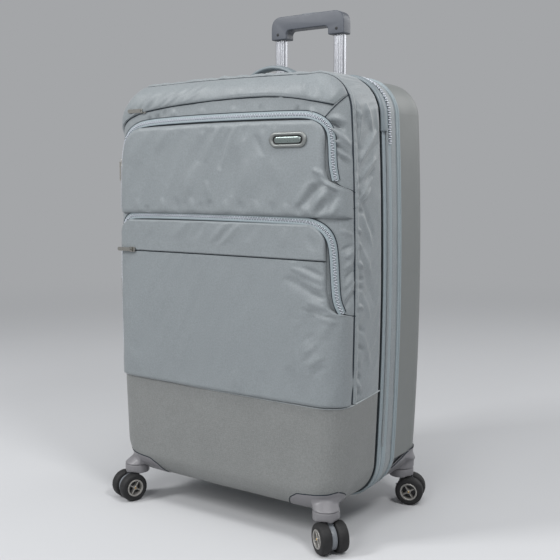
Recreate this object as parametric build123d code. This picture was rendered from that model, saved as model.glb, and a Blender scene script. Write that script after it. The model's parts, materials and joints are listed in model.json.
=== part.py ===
from build123d import *
import os

# Softside upright suitcase on four twin-wheel casters, in millimetres.
# +Z up, -Y the pocket side, +X right as seen from the front, floor at z = 0.

# Case outline, seen from the front: slightly bowed sides with large corners
HALF_WIDTH = 250.0          # at mid height
SIDE_BOW = 12.0             # how much narrower the case is at its corners
TOP_Z = 783.0
TOP_BOW = 5.0
BOTTOM_Z = 56.0
BOTTOM_BOW = 3.0
CORNER = 62.0

# Case depth, front to back
FRONT_Y = -142.0            # pocket-side face
FRONT_END_Y = -8.0          # back edge of the soft front body
RING_START_Y = 0.0          # lid ring, between expansion zip and main zip
RING_END_Y = 9.5
BAND_START_Y = 10.0         # fabric band of the back half
BAND_END_Y = 45.8
RIM_START_Y = 46.0          # double-piped rim of the hard shell
RIM_END_Y = 54.5
BACK_Y = 176.0
FRONT_EDGE = 44.0           # roundness of the front edges
BACK_EDGE = 54.0

# Walls
FABRIC = 3.0
SHELL = 3.0
SKIN = 1.5
GAP = 0.15                  # between glued or sewn layers
RIM_PROUD = 2.0
RIM_THICKNESS = 8.0
GUSSET_INSET = 6.0

# Outside pockets on the front
POCKET_BULGE = 9.0
POCKET_LEFT = -226.0
POCKET_RIGHT = 238.0
POCKET_CORNER = 30.0
UPPER_POCKET_Z = (556.0, 716.0)
LOWER_POCKET_Z = (247.0, 549.0)
BUCKET_TOP_Z = 243.0
BADGE_CENTRE = (153.0, 670.5)
BADGE_SIZE = (72.0, 25.0)

# Casters
SWIVEL_X = 214.0
SWIVEL_FRONT_Y = -127.0
SWIVEL_BACK_Y = 143.0
TRAIL = 18.0
WHEEL_R = 26.0
TYRE_INNER_R = 16.2
TYRE_HALF_GAP = 5.5
TYRE_WIDTH = 19.0
HUB_BORE_R = 2.55
AXLE_R = 2.5
CAP_BOTTOM_Z = 54.5
CAP_TOP_Z = 67.0
CAP_R = 22.0
NECK_BOTTOM_Z = 67.8
NECK_R = 23.0
KINGPIN_R = 5.0
KINGPIN_Z = (60.0, 89.5)
PIN_CLEARANCE = 0.05
HOUSING_PROUD = 2.0
HOUSING_INNER_X = 150.0
HOUSING_TOP_Z = (99.0, 108.0)          # front pair, back pair
HOUSING_WALL = 4.0
CASTERS = {                            # name: (x, y, trail direction in degrees)
    "front_right": (SWIVEL_X, SWIVEL_FRONT_Y, -35.0),
    "front_left": (-SWIVEL_X, SWIVEL_FRONT_Y, 252.5),
    "back_right": (SWIVEL_X, SWIVEL_BACK_Y, 17.5),
    "back_left": (-SWIVEL_X, SWIVEL_BACK_Y, 162.5),
}

# Trolley handle, drawn out to its first stop
TUBE_X = 67.5
TUBE_Y = 149.0
TUBE_SIZE = (22.0, 14.0)
TUBE_WALL = 1.2
TUBE_BOTTOM_Z = 300.0
TUBE_TOP_Z = 900.0
OUTER_SIZE = (27.0, 19.0)
OUTER_WALL = 1.5
OUTER_BOTTOM_Z = 92.0
OUTER_TOP_Z = 764.0
GRIP_HALF = 83.0
GRIP_INNER_HALF = 48.0
GRIP_BOTTOM_Z = 882.0
GRIP_UNDERSIDE_Z = 899.0
GRIP_TOP_Z = 926.0
GRIP_DEPTH = 27.0
BUTTON_SIZE = (34.0, 15.0)
BUTTON_Z = (921.0, 928.5)
CAVITY_Z = (903.0, 916.0)
ROD_R = 1.5
RIVET_Z = 892.0
LOCK_Z = 316.0
LOCK_R = 2.5

# Carry handles
TOP_HANDLE_Y = 28.0
HANDLE_WIDTH = 27.0
HANDLE_THICKNESS = 9.0
TOP_HANDLE_R = 90.0
TOP_HANDLE_APEX_Z = 816.0
SIDE_HANDLE_Y = 31.0
SIDE_HANDLE_Z = 418.0
SIDE_HANDLE_REACH = 19.0
SIDE_HANDLE_HALF = 95.0

# Zip sliders and their pulls: (hinge point, outward direction, hang direction)
LEFT_OUT = Vector(-0.82, -0.572, 0)
FRONT_OUT = Vector(0, -1, 0)
SIDE_OUT = Vector(-1, 0, 0)
DOWN = Vector(0, 0, -1)
LEFT = Vector(-1, 0, 0)
PULL_LENGTH = 34.0
PULL_STANDOFF = 4.5
MAIN_ZIP_Y = 9.7
EXPANSION_ZIP_Y = -3.0


def block(x0, x1, y0, y1, z0, z1):
    """Plain box between two opposite corners."""
    centre = Pos((x0 + x1) / 2, (y0 + y1) / 2, (z0 + z1) / 2)
    return centre * Box(x1 - x0, y1 - y0, z1 - z0)


def case_outline(grow, y):
    """Bowed, round-cornered outline of the case on the plane at y, grown outwards."""
    side = HALF_WIDTH - SIDE_BOW + grow
    low = BOTTOM_Z + BOTTOM_BOW - grow
    high = TOP_Z - TOP_BOW + grow
    middle = (low + high) / 2
    right = ThreePointArc((side, y, low), (side + SIDE_BOW, y, middle), (side, y, high))
    top = ThreePointArc((side, y, high), (0, y, high + TOP_BOW), (-side, y, high))
    left = ThreePointArc((-side, y, high), (-side - SIDE_BOW, y, middle), (-side, y, low))
    bottom = ThreePointArc((-side, y, low), (0, y, low - BOTTOM_BOW), (side, y, low))
    face = Face(Wire([right, top, left, bottom]))
    return fillet(face.vertices(), CORNER + grow)


def case_block(grow, front_y, back_y, front_edge=0.0, back_edge=0.0):
    """Solid of the case outline between two depths, with rounded front or back edges."""
    face = case_outline(grow, front_y)
    solid = extrude(face, amount=back_y - front_y, dir=(0, 1, 0))
    if front_edge:
        solid = fillet(solid.faces().sort_by(Axis.Y)[0].edges(), front_edge)
    if back_edge:
        solid = fillet(solid.faces().sort_by(Axis.Y)[-1].edges(), back_edge)
    return solid


def front_block(grow, back_y=FRONT_END_Y):
    """Front half of the case, grown outwards by a distance."""
    return case_block(grow, FRONT_Y - grow, back_y, front_edge=FRONT_EDGE + grow)


def back_block(grow, front_y=RIM_END_Y):
    """Back half of the case, grown outwards by a distance."""
    return case_block(grow, front_y, BACK_Y + grow, back_edge=BACK_EDGE + grow)


def ring(outer_grow, inner_grow, y0, y1):
    """Closed band that follows the case outline."""
    return case_block(outer_grow, y0, y1) - case_block(inner_grow, y0 - 1, y1 + 1)


def corner_zone(side, front, margin=0.0):
    """Space that one caster housing takes at a bottom corner of the case."""
    inner = HOUSING_INNER_X - margin
    x0, x1 = sorted((side * inner, side * 270.0))
    top = HOUSING_TOP_Z[0 if front else 1] + margin
    if front:
        return block(x0, x1, -160.0, -45.0 + margin, 40.0, top)
    return block(x0, x1, 62.0 - margin, 190.0, 40.0, top)


def housing(side, front):
    """Moulded corner housing that carries a caster: a hollow cap with a round neck below."""
    if front:
        outer = front_block(HOUSING_PROUD, 0.0)
        inner = front_block(-HOUSING_WALL, 0.0)
        y = SWIVEL_FRONT_Y
    else:
        outer = back_block(HOUSING_PROUD, 40.0)
        inner = back_block(-HOUSING_WALL, 40.0)
        y = SWIVEL_BACK_Y
    x = side * SWIVEL_X
    zone = corner_zone(side, front)
    cap = outer & zone
    centre_x = side * (HOUSING_INNER_X + HOUSING_WALL)
    x0, x1 = sorted((centre_x, side * 260.0))
    floor_z = 84.0
    if front:
        hollow = block(x0, x1, -150.0, -45.0 - HOUSING_WALL, floor_z, 120.0)
    else:
        hollow = block(x0, x1, 62.0 + HOUSING_WALL, 180.0, floor_z, 120.0)
    cap = cap - (inner & hollow)
    neck_height = 90.0 - NECK_BOTTOM_Z
    neck = Pos(x, y, NECK_BOTTOM_Z + neck_height / 2) * Cylinder(NECK_R, neck_height)
    recess_r = CAP_R + 2.5
    recess_height = NECK_BOTTOM_Z - 40.0
    recess = Pos(x, y, 40.0 + recess_height / 2) * Cylinder(recess_r, recess_height)
    pin_hole = Pos(x, y, 75.0) * Cylinder(KINGPIN_R + PIN_CLEARANCE, 30.0)
    return cap + neck - recess - pin_hole


def kingpin(x, y):
    """Swivel pin that stands in the housing and hangs down into the fork cap."""
    return Pos(x, y, (KINGPIN_Z[0] + KINGPIN_Z[1]) / 2) * Cylinder(
        KINGPIN_R, KINGPIN_Z[1] - KINGPIN_Z[0]
    )


def place_caster(x, y, direction, solid):
    """Turn a solid built with its trail along +X and set it on its swivel axis."""
    return Pos(x, y, 0) * Rot(0, 0, direction) * solid


def fork():
    """Swivel cap with a mudguard plate that stands between the two wheels."""
    height = CAP_TOP_Z - CAP_BOTTOM_Z
    cap = Pos(0, 0, CAP_BOTTOM_Z + height / 2) * Cylinder(CAP_R, height)
    cap = fillet(cap.edges().sort_by(Axis.Z)[-1], 2.0)
    plate_half = 4.0
    disc = Pos(TRAIL, 0, WHEEL_R) * Rot(90, 0, 0) * Cylinder(20.0, 2 * plate_half)
    web = block(-8.0, TRAIL + 14.0, -plate_half, plate_half, WHEEL_R + 10.0, CAP_BOTTOM_Z + 3.0)
    plate = disc + (web & Pos(0, 0, 45) * Box(2 * CAP_R - 2, 20, 40))
    hanger = block(-8.0, 8.0, -plate_half, plate_half, WHEEL_R + 8.0, CAP_BOTTOM_Z + 2.0)
    solid = cap + plate + hanger
    axle_hole = Pos(TRAIL, 0, WHEEL_R) * Rot(90, 0, 0) * Cylinder(AXLE_R + PIN_CLEARANCE, 30)
    pin_top = CAP_TOP_Z + 1.0
    pin_bottom = CAP_BOTTOM_Z + 3.5
    pin_hole = Pos(0, 0, (pin_top + pin_bottom) / 2)
    pin_hole = pin_hole * Cylinder(KINGPIN_R + PIN_CLEARANCE, pin_top - pin_bottom)
    return solid - axle_hole - pin_hole


def axle():
    """Wheel axle with a flat head at each end."""
    turn = Pos(TRAIL, 0, WHEEL_R) * Rot(90, 0, 0)
    head_start = TYRE_HALF_GAP + TYRE_WIDTH + 0.1
    shaft = Cylinder(AXLE_R, 2 * head_start)
    head = Cylinder(4.2, 1.8)
    ends = [Pos(0, 0, s * (head_start + 0.9)) * head for s in (-1, 1)]
    return turn * (shaft + ends[0] + ends[1])


def tyre(side):
    """Round-shouldered tread of one wheel."""
    solid = fillet(Cylinder(WHEEL_R, TYRE_WIDTH).edges(), 4.5)
    solid = solid - Cylinder(TYRE_INNER_R, TYRE_WIDTH + 2)
    centre = side * (TYRE_HALF_GAP + TYRE_WIDTH / 2)
    return Pos(TRAIL, centre, WHEEL_R) * Rot(90, 0, 0) * solid


def hub(side):
    """Wheel hub: a rim, a boss round the axle and four spokes."""
    rim_r = TYRE_INNER_R - PIN_CLEARANCE
    width = TYRE_WIDTH - 1.0
    rim = Cylinder(rim_r, width) - Cylinder(rim_r - 2.6, width + 2)
    boss = Cylinder(5.0, width)
    spoke = Box(2 * rim_r - 3.0, 3.0, width - 4.0)
    web = Cylinder(rim_r - 1.0, 2.0)
    solid = rim + boss + spoke + Rot(0, 0, 90) * spoke + web
    solid = solid - Cylinder(HUB_BORE_R, width + 2)
    centre = side * (TYRE_HALF_GAP + TYRE_WIDTH / 2)
    return Pos(TRAIL, centre, WHEEL_R) * Rot(90, 0, 0) * solid


def pocket(z_range):
    """Padded zip pocket that stands proud of the front face."""
    low, high = z_range
    centre = Pos((POCKET_LEFT + POCKET_RIGHT) / 2, -110.0, (low + high) / 2)
    width = POCKET_RIGHT - POCKET_LEFT
    prism = centre * Box(width, 140.0, high - low)
    prism = fillet(prism.edges().filter_by(Axis.Y), POCKET_CORNER)
    outer = case_block(0.0, FRONT_Y - POCKET_BULGE, 0.0, front_edge=FRONT_EDGE)
    return (outer & prism) - front_block(SKIN + 0.3, 10.0)


def badge():
    """Blank oval badge: a frame with a plate let into it."""
    x, z = BADGE_CENTRE
    width, height = BADGE_SIZE
    face_y = FRONT_Y - POCKET_BULGE - 0.1

    def plate(w, h, y0, y1):
        solid = Pos(x, (y0 + y1) / 2, z) * Box(w, y1 - y0, h)
        return fillet(solid.edges().filter_by(Axis.Y), h / 2 - 0.1)

    frame = plate(width, height, face_y - 3.0, face_y)
    frame = frame - plate(width - 14.0, height - 9.0, face_y - 4.0, face_y - 1.0)
    inlay = plate(width - 15.0, height - 10.0, face_y - 2.6, face_y - 1.1)
    return frame, inlay


def zip_plane(point, out, hang):
    """Frame at a pull's hinge: x along the hinge pin, y outwards, z against the hang."""
    up = hang * -1
    return Plane(origin=point, x_dir=out.cross(up), z_dir=up)


def slider(point, out, hang):
    """Zip slider with a stem that holds the pull's hinge pin."""
    base = fillet(block(-4.5, 4.5, -4.2, -1.9, -7.0, 7.0).edges().filter_by(Axis.Y), 2.0)
    stem = block(-1.2, 1.2, -2.5, 0.9, -1.0, 1.0)
    pin = Rot(0, 90, 0) * Cylinder(0.8, 6.8)
    return zip_plane(point, out, hang).location * (base + stem + pin)


def pull(point, out, hang):
    """Zip pull: a tab with two ears round the slider's pin."""
    tab = block(-3.4, 3.4, -1.0, 1.0, -PULL_LENGTH, -2.4)
    tab = fillet(tab.edges().filter_by(Axis.Y).sort_by(Axis.Z)[:2], 3.0)
    ear = Rot(0, 90, 0) * Cylinder(1.6, 1.8)
    for x in (-2.5, 2.5):
        tab = tab + Pos(x, 0, 0) * ear + block(x - 0.9, x + 0.9, -1.0, 1.0, -2.6, 0.0)
    tab = tab - Rot(0, 90, 0) * Cylinder(0.8 + PIN_CLEARANCE, 10.0)
    return zip_plane(point, out, hang).location * tab


def tube(x, size, wall, z0, z1):
    """Upright rectangular tube with rounded corners."""
    outer = fillet(Box(*size, z1 - z0).edges().filter_by(Axis.Z), 4.0)
    inner = Box(size[0] - 2 * wall, size[1] - 2 * wall, z1 - z0 + 2)
    inner = fillet(inner.edges().filter_by(Axis.Z), 4.0 - wall)
    return Pos(x, TUBE_Y, (z0 + z1) / 2) * (outer - inner)


def grip():
    """U-shaped trolley grip with sockets for the tubes and room for the release."""
    body = block(-GRIP_HALF, GRIP_HALF, -GRIP_DEPTH / 2, GRIP_DEPTH / 2, GRIP_BOTTOM_Z, GRIP_TOP_Z)
    upper = body.edges().filter_by(Axis.Y).sort_by(Axis.Z)[-2:]
    body = fillet(upper, 22.0)
    low = GRIP_BOTTOM_Z - 20.0
    gap = block(-GRIP_INNER_HALF, GRIP_INNER_HALF, -30, 30, low, GRIP_UNDERSIDE_Z)
    gap = fillet(gap.edges().filter_by(Axis.Y).sort_by(Axis.Z)[-2:], 7.0)
    body = body - gap
    reach = TUBE_X + 4.0
    body = body - block(-reach, reach, -4.5, 4.5, *CAVITY_Z)
    half_x = BUTTON_SIZE[0] / 2 + 0.4
    half_y = BUTTON_SIZE[1] / 2 + 0.4
    body = body - block(-half_x, half_x, -half_y, half_y, CAVITY_Z[1] - 0.5, GRIP_TOP_Z + 5)
    socket_x = TUBE_SIZE[0] + 0.2
    socket_y = TUBE_SIZE[1] + 0.2
    for x in (-TUBE_X, TUBE_X):
        socket = fillet(Box(socket_x, socket_y, 40.0).edges().filter_by(Axis.Z), 4.0)
        body = body - Pos(x, 0, TUBE_TOP_Z + 0.2 - 20.0) * socket
        body = body - block(x - 4, x + 4, -4.5, 4.5, TUBE_TOP_Z - 1, CAVITY_Z[0] + 1)
        body = body - rivet_hole(x)
    return Pos(0, TUBE_Y, 0) * body


def rivet_hole(x):
    """Front rivet hole through a leg of the grip, about the tube's centre line."""
    return Pos(x, -GRIP_DEPTH / 2, RIVET_Z) * Rot(90, 0, 0) * Cylinder(1.9, 18.0)


def rivet(x):
    """Blind rivet that ties the grip to a tube."""
    front = TUBE_Y - GRIP_DEPTH / 2
    shank = Pos(x, front + 3.4, RIVET_Z) * Rot(90, 0, 0) * Cylinder(1.8, 8.8)
    head = Pos(x, front - 0.7, RIVET_Z) * Rot(90, 0, 0) * Cylinder(3.4, 1.3)
    return shank + head


def release_rods():
    """Crossbar under the button with a rod down each tube."""
    bar = block(-TUBE_X - 2, TUBE_X + 2, -3.0, 3.0, 909.0, 914.0)
    stem = Pos(0, 0, (913.0 + BUTTON_Z[0]) / 2 - 0.05) * Cylinder(4.0, BUTTON_Z[0] - 913.1)
    solid = bar + stem
    length = 910.0 - (LOCK_Z + 8.0)
    for x in (-TUBE_X, TUBE_X):
        solid = solid + Pos(x, 0, LOCK_Z + 8.0 + length / 2) * Cylinder(ROD_R, length)
    return Pos(0, TUBE_Y, 0) * solid


def lock_pin(side):
    """Spring pin in the foot of an inner tube; its tip is flush with the tube's side."""
    tip = TUBE_X + TUBE_SIZE[0] / 2
    root = TUBE_X - 1.0
    solid = Pos((tip + root) / 2, TUBE_Y, LOCK_Z) * Rot(0, 90, 0) * Cylinder(LOCK_R, tip - root)
    return solid if side > 0 else mirror(solid, Plane.YZ)


def arched_handle(radius, thickness, width, apex, low):
    """Arch in the XZ plane about X = 0, from its top down to a level, as a flat strap."""
    centre = apex - radius
    arch = Cylinder(radius, width) - Cylinder(radius - thickness, width + 2)
    arch = Pos(0, 0, centre) * Rot(90, 0, 0) * arch
    return arch & block(-300, 300, -50, 50, low, apex + 5)


def write(parts):
    """One STEP file per node."""
    os.makedirs("parts", exist_ok=True)
    for name, solid in parts.items():
        if isinstance(solid, (list, tuple)):
            solid = Compound(children=[piece for group in solid for piece in group.solids()])
        export_step(solid, "parts/" + name + ".step")


parts = {}

# Soft front body: an open tray of fabric over a light frame
front_corners = corner_zone(1, True, 0.3) + corner_zone(-1, True, 0.3)
tray = front_block(0.0) - front_block(-FABRIC, FRONT_END_Y + 1)
parts["front_shell"] = tray - front_corners
bucket = front_block(SKIN + GAP) - front_block(GAP, FRONT_END_Y + 1)
parts["bucket"] = (bucket & block(-300, 300, -200, 100, 0, BUCKET_TOP_Z)) - front_corners
parts["upper_pocket"] = pocket(UPPER_POCKET_Z)
parts["lower_pocket"] = pocket(LOWER_POCKET_Z)
parts["badge"] = badge()
parts["front_housings"] = [housing(side, True) for side in (-1, 1)]
parts["front_kingpins"] = [kingpin(side * SWIVEL_X, SWIVEL_FRONT_Y) for side in (-1, 1)]

# Lid: the ring between the two zips, and the folded gusset of the expansion
parts["lid_ring"] = ring(0.0, -FABRIC, RING_START_Y, RING_END_Y)
gusset = ring(-GUSSET_INSET, -GUSSET_INSET - SKIN, FRONT_END_Y, RING_END_Y)
gusset_tie = ring(-FABRIC - GAP, -GUSSET_INSET - SKIN, RING_START_Y + 1.0, RING_END_Y)
parts["expansion_gusset"] = gusset + gusset_tie

# Hard back half
back_corners = corner_zone(1, False, 0.3) + corner_zone(-1, False, 0.3)
bezel_half = TUBE_X + OUTER_SIZE[0] / 2 + 8.0
bezel_zone = block(-bezel_half, bezel_half, TUBE_Y - 18.0, TUBE_Y + 16.0, 740.0, 800.0)
shell = back_block(0.0) - back_block(-SHELL, RIM_END_Y - 1)
bezel_hole = block(-bezel_half + 2, bezel_half - 2, TUBE_Y - 16, TUBE_Y + 14, 740.0, 800.0)
parts["back_shell"] = shell - back_corners - bezel_hole
parts["side_band"] = ring(0.0, -FABRIC, BAND_START_Y, BAND_END_Y)
parts["back_rim"] = ring(RIM_PROUD, -RIM_THICKNESS, RIM_START_Y, RIM_END_Y - GAP)
parts["rear_housings"] = [housing(side, False) for side in (-1, 1)]
parts["rear_kingpins"] = [kingpin(side * SWIVEL_X, SWIVEL_BACK_Y) for side in (-1, 1)]

# Trolley guides inside the back half
parts["outer_tubes"] = [
    tube(x, OUTER_SIZE, OUTER_WALL, OUTER_BOTTOM_Z, OUTER_TOP_Z) for x in (-TUBE_X, TUBE_X)
]
foot = block(-bezel_half, bezel_half, TUBE_Y - 14, TUBE_Y + 14, 76.0, OUTER_BOTTOM_Z - 0.1)
parts["tube_foot"] = fillet(foot.edges().filter_by(Axis.Z), 6.0) & back_block(-SHELL - 0.3, 40.0)
plate = (back_block(SKIN, 40.0) - back_block(0.2, 30.0)) & bezel_zone
insert = block(-bezel_half + 2.3, bezel_half - 2.3, TUBE_Y - 15.7, TUBE_Y + 13.7, 764.5, 779.0)
insert = insert & back_block(0.8, 40.0)
bezel = plate + insert
for x in (-TUBE_X, TUBE_X):
    opening = fillet(Box(TUBE_SIZE[0] + 1, TUBE_SIZE[1] + 1, 80).edges().filter_by(Axis.Z), 4.4)
    bezel = bezel - Pos(x, TUBE_Y, 775) * opening
parts["trolley_bezel"] = bezel
cover_half = bezel_half + 6.0
cover = block(-cover_half, cover_half, TUBE_Y - 19.0, TUBE_Y + 20.0, 72.0, 763.0)
cover = cover - block(-cover_half + SKIN, cover_half - SKIN, TUBE_Y - 17.5, 200.0, 60.0, 800.0)
parts["tube_cover"] = cover & back_block(-SHELL - 0.3, 40.0)

# Trolley stage
inner = []
for x in (-TUBE_X, TUBE_X):
    stage = tube(x, TUBE_SIZE, TUBE_WALL, TUBE_BOTTOM_Z, TUBE_TOP_Z)
    stage = stage - Pos(x, TUBE_Y - 9, RIVET_Z) * Rot(90, 0, 0) * Cylinder(1.9, 10.0)
    pin_side = 1 if x > 0 else -1
    hole = Pos(x + pin_side * 10, TUBE_Y, LOCK_Z) * Rot(0, 90, 0) * Cylinder(LOCK_R + 0.05, 10.0)
    inner.append(stage - hole)
parts["inner_tubes"] = inner
parts["grip"] = grip()
parts["grip_rivets"] = [rivet(x) for x in (-TUBE_X, TUBE_X)]
half_x, half_y = BUTTON_SIZE[0] / 2, BUTTON_SIZE[1] / 2
button = block(-half_x, half_x, TUBE_Y - half_y, TUBE_Y + half_y, *BUTTON_Z)
parts["release_button"] = fillet(button.edges().filter_by(Axis.Z), 5.0)
parts["release_rods"] = release_rods()
parts["lock_pin_left"] = lock_pin(-1)
parts["lock_pin_right"] = lock_pin(1)

# Carry handles, both sewn to the fabric band
arch = arched_handle(
    TOP_HANDLE_R, HANDLE_THICKNESS, HANDLE_WIDTH, TOP_HANDLE_APEX_Z, TOP_Z - TOP_BOW - 2
)
parts["top_handle"] = (Pos(0, TOP_HANDLE_Y, 0) * arch) - case_block(0.2, 0.0, 60.0)
side_radius = (SIDE_HANDLE_HALF ** 2 + SIDE_HANDLE_REACH ** 2) / (2 * SIDE_HANDLE_REACH)
strap = arched_handle(side_radius, 6.0, HANDLE_WIDTH, SIDE_HANDLE_REACH, -6.0)
strap = Pos(-HALF_WIDTH, SIDE_HANDLE_Y, SIDE_HANDLE_Z) * Rot(0, -90, 0) * strap
parts["side_handle"] = strap - case_block(0.2, 0.0, 60.0)

# Casters
for name, (x, y, direction) in CASTERS.items():
    parts["fork_" + name] = place_caster(x, y, direction, fork())
    parts["axle_" + name] = place_caster(x, y, direction, axle())
    for letter, side in (("a", -1), ("b", 1)):
        parts["tyre_" + name + "_" + letter] = place_caster(x, y, direction, tyre(side))
        parts["hub_" + name + "_" + letter] = place_caster(x, y, direction, hub(side))

# Zip sliders and pulls
left_edge = Vector(-242.0, -123.0, 0) + LEFT_OUT * PULL_STANDOFF
pocket_face_y = FRONT_Y - POCKET_BULGE - PULL_STANDOFF
front_face_y = FRONT_Y - PULL_STANDOFF
side_x = -HALF_WIDTH - PULL_STANDOFF
POCKET_PULLS = {
    "pull_top": (Vector(-168.0, front_face_y, 731.0), FRONT_OUT, LEFT),
    "pull_upper": (left_edge + Vector(0, 0, 640.0), LEFT_OUT, DOWN),
    "pull_lower": (left_edge + Vector(0, 0, 420.0), LEFT_OUT, DOWN),
    "pull_slit": (Vector(-192.0, pocket_face_y, 481.0), FRONT_OUT, LEFT),
}
EDGE_PULLS = {
    "pull_main_upper": (Vector(side_x, MAIN_ZIP_Y, 560.0), SIDE_OUT, DOWN),
    "pull_main_lower": (Vector(side_x, MAIN_ZIP_Y, 300.0), SIDE_OUT, DOWN),
    "pull_expansion": (Vector(side_x, EXPANSION_ZIP_Y, 230.0), SIDE_OUT, DOWN),
}
parts["pocket_sliders"] = [slider(*place) for place in POCKET_PULLS.values()]
parts["edge_sliders"] = [slider(*place) for place in EDGE_PULLS.values()]
for name, place in (POCKET_PULLS | EDGE_PULLS).items():
    parts[name] = pull(*place)

write(parts)
print(len(parts), "nodes")
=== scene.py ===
import json
from math import asin, cos, hypot, pi, radians, sin, sqrt

import bmesh
import bpy
import numpy as np
from mathutils import Matrix, Vector


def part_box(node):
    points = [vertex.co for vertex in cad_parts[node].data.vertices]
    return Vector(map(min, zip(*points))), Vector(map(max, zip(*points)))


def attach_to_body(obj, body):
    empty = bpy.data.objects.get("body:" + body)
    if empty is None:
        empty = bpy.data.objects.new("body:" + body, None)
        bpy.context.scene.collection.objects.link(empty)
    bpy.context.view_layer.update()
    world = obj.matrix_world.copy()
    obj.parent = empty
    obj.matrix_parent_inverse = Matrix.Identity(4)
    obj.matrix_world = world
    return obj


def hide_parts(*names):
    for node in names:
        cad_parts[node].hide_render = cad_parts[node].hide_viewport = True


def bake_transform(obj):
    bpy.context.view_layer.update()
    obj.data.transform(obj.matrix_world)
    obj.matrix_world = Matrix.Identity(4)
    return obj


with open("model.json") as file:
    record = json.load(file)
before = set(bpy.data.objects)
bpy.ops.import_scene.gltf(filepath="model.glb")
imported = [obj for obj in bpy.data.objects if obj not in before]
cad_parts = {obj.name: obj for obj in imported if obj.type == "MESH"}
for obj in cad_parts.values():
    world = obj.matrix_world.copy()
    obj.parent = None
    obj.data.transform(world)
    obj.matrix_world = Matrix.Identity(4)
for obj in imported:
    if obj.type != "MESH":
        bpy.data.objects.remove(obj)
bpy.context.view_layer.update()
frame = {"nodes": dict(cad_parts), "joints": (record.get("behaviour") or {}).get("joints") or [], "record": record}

# Case dimensions in metres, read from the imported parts
FRONT_LOW, FRONT_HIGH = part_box("front_shell")
BACK_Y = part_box("back_shell")[1].y
HALF_W = FRONT_HIGH.x
BOTTOM, TOP = FRONT_LOW.z, FRONT_HIGH.z
MID_Z = (BOTTOM + TOP) / 2
HALF_H = (TOP - BOTTOM) / 2
FRONT_Y, FRONT_END = FRONT_LOW.y, FRONT_HIGH.y
CORNER = 0.062  # radius of the outline's corners
FRONT_EDGE, BACK_EDGE = 0.044, 0.054  # radius of the roll from each face to the sides
SIDE_BOW, TOP_BOW, BOTTOM_BOW = 0.012, 0.005, 0.003
CREASE_GAIN = 1.25  # height of every crease against the values listed
ROLL = FRONT_EDGE * pi / 2


# ---------------------------------------------------------------- surface

def eased(t):
    """Smooth step of a value already between 0 and 1."""
    return t * t * (3 - 2 * t)


def bow(x, z):
    """Case sides are slightly bowed: bend a straight-sided outline to match."""
    t = np.clip((z - MID_Z) / HALF_H, -1.1, 1.1)
    k = np.clip((x / HALF_W) ** 2, 0, 1.2)
    drop = np.where(z > MID_Z, TOP_BOW, BOTTOM_BOW)
    return x * (1 - SIDE_BOW / HALF_W * t * t), z - t * drop * k


SLUMP = 0.0150


def slump(x, y, z):
    """Soft front corner at the top left: the cloth there hangs a little inward."""
    reach = ((-x - (HALF_W - CORNER)) + (z - (MID_Z + HALF_H - CORNER))) / sqrt(2)
    near = np.clip((reach - 0.026) / 0.036, 0, 1)
    depth = np.clip((-0.012 - y) / 0.08, 0, 1)
    shift = SLUMP * eased(near) * eased(depth) / sqrt(2)
    return x + shift, y, z - shift


def drape(u, z, lift, back=False):
    """Point on the case's front (or back) skin from coordinates on the skin laid flat."""
    u, z, lift = np.broadcast_arrays(np.asarray(u, float), z, lift)
    edge = BACK_EDGE if back else FRONT_EDGE
    flat_r = CORNER - edge
    w = z - MID_Z
    px = np.maximum(abs(u) - (HALF_W - CORNER), 0)
    pz = np.maximum(abs(w) - (HALF_H - CORNER), 0)
    length = np.hypot(px, pz)
    over = np.maximum(length - flat_r, 0)
    safe = np.maximum(length, 1e-9)
    nx, nz = px / safe * np.sign(u), pz / safe * np.sign(w)
    phi = np.minimum(over / edge, pi / 2)
    run = np.maximum(over - edge * pi / 2, 0)
    out = (edge + lift) * np.sin(phi)
    x = u - nx * over + nx * out
    zz = z - nz * over + nz * out
    y = edge * (1 - np.cos(phi)) + run - lift * np.cos(phi)
    y = BACK_Y - y if back else FRONT_Y + y
    x, zz = bow(x, zz)
    return np.stack(slump(x, y, zz), -1)


def unroll(x, z):
    """Coordinates on the front skin laid flat of a point given as seen from the front."""
    t = (z - MID_Z) / HALF_H
    x = x / (1 - SIDE_BOW / HALF_W * t * t)
    w = z + t * TOP_BOW * (x / HALF_W) ** 2 - MID_Z
    sx, sw = abs(x), abs(w)
    qx, qw = sx - (HALF_W - CORNER), sw - (HALF_H - CORNER)
    if qx > 0 and qw > 0:
        away = hypot(qx, qw)
        nx, nw, inset = qx / away, qw / away, CORNER - away
    elif HALF_W - sx < HALF_H - sw:
        nx, nw, inset = 1.0, 0.0, HALF_W - sx
    else:
        nx, nw, inset = 0.0, 1.0, HALF_H - sw
    if inset < FRONT_EDGE:
        a = FRONT_EDGE - inset
        e = FRONT_EDGE * asin(min(a / FRONT_EDGE, 1.0))
        sx, sw = sx + nx * (e - a), sw + nw * (e - a)
    return (sx if x > 0 else -sx, MID_Z + (sw if w > 0 else -sw))


def unrolled(points_mm):
    return np.array([unroll(x / 1000, z / 1000) for x, z in points_mm])


def smooth_path(points, step=0.0025, rounds=3):
    """Corner-cutting through control points, then even steps along the result."""
    p = np.asarray(points, float)
    for _ in range(rounds):
        a, q = p[:-1], p[1:]
        mixed = np.stack([0.75 * a + 0.25 * q, 0.25 * a + 0.75 * q], 1).reshape(-1, p.shape[1])
        p = np.vstack([p[:1], mixed, p[-1:]])
    return even(p, step)


def run_length(p):
    """Distance along a path at each of its points."""
    return np.concatenate([[0], np.cumsum(np.linalg.norm(np.diff(p, axis=0), axis=1))])


def even(p, step):
    """The same path with its points evenly spaced."""
    s = run_length(p)
    t = np.linspace(0, s[-1], max(int(round(s[-1] / step)), 2) + 1)
    return np.stack([np.interp(t, s, p[:, i]) for i in range(p.shape[1])], -1)


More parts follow.
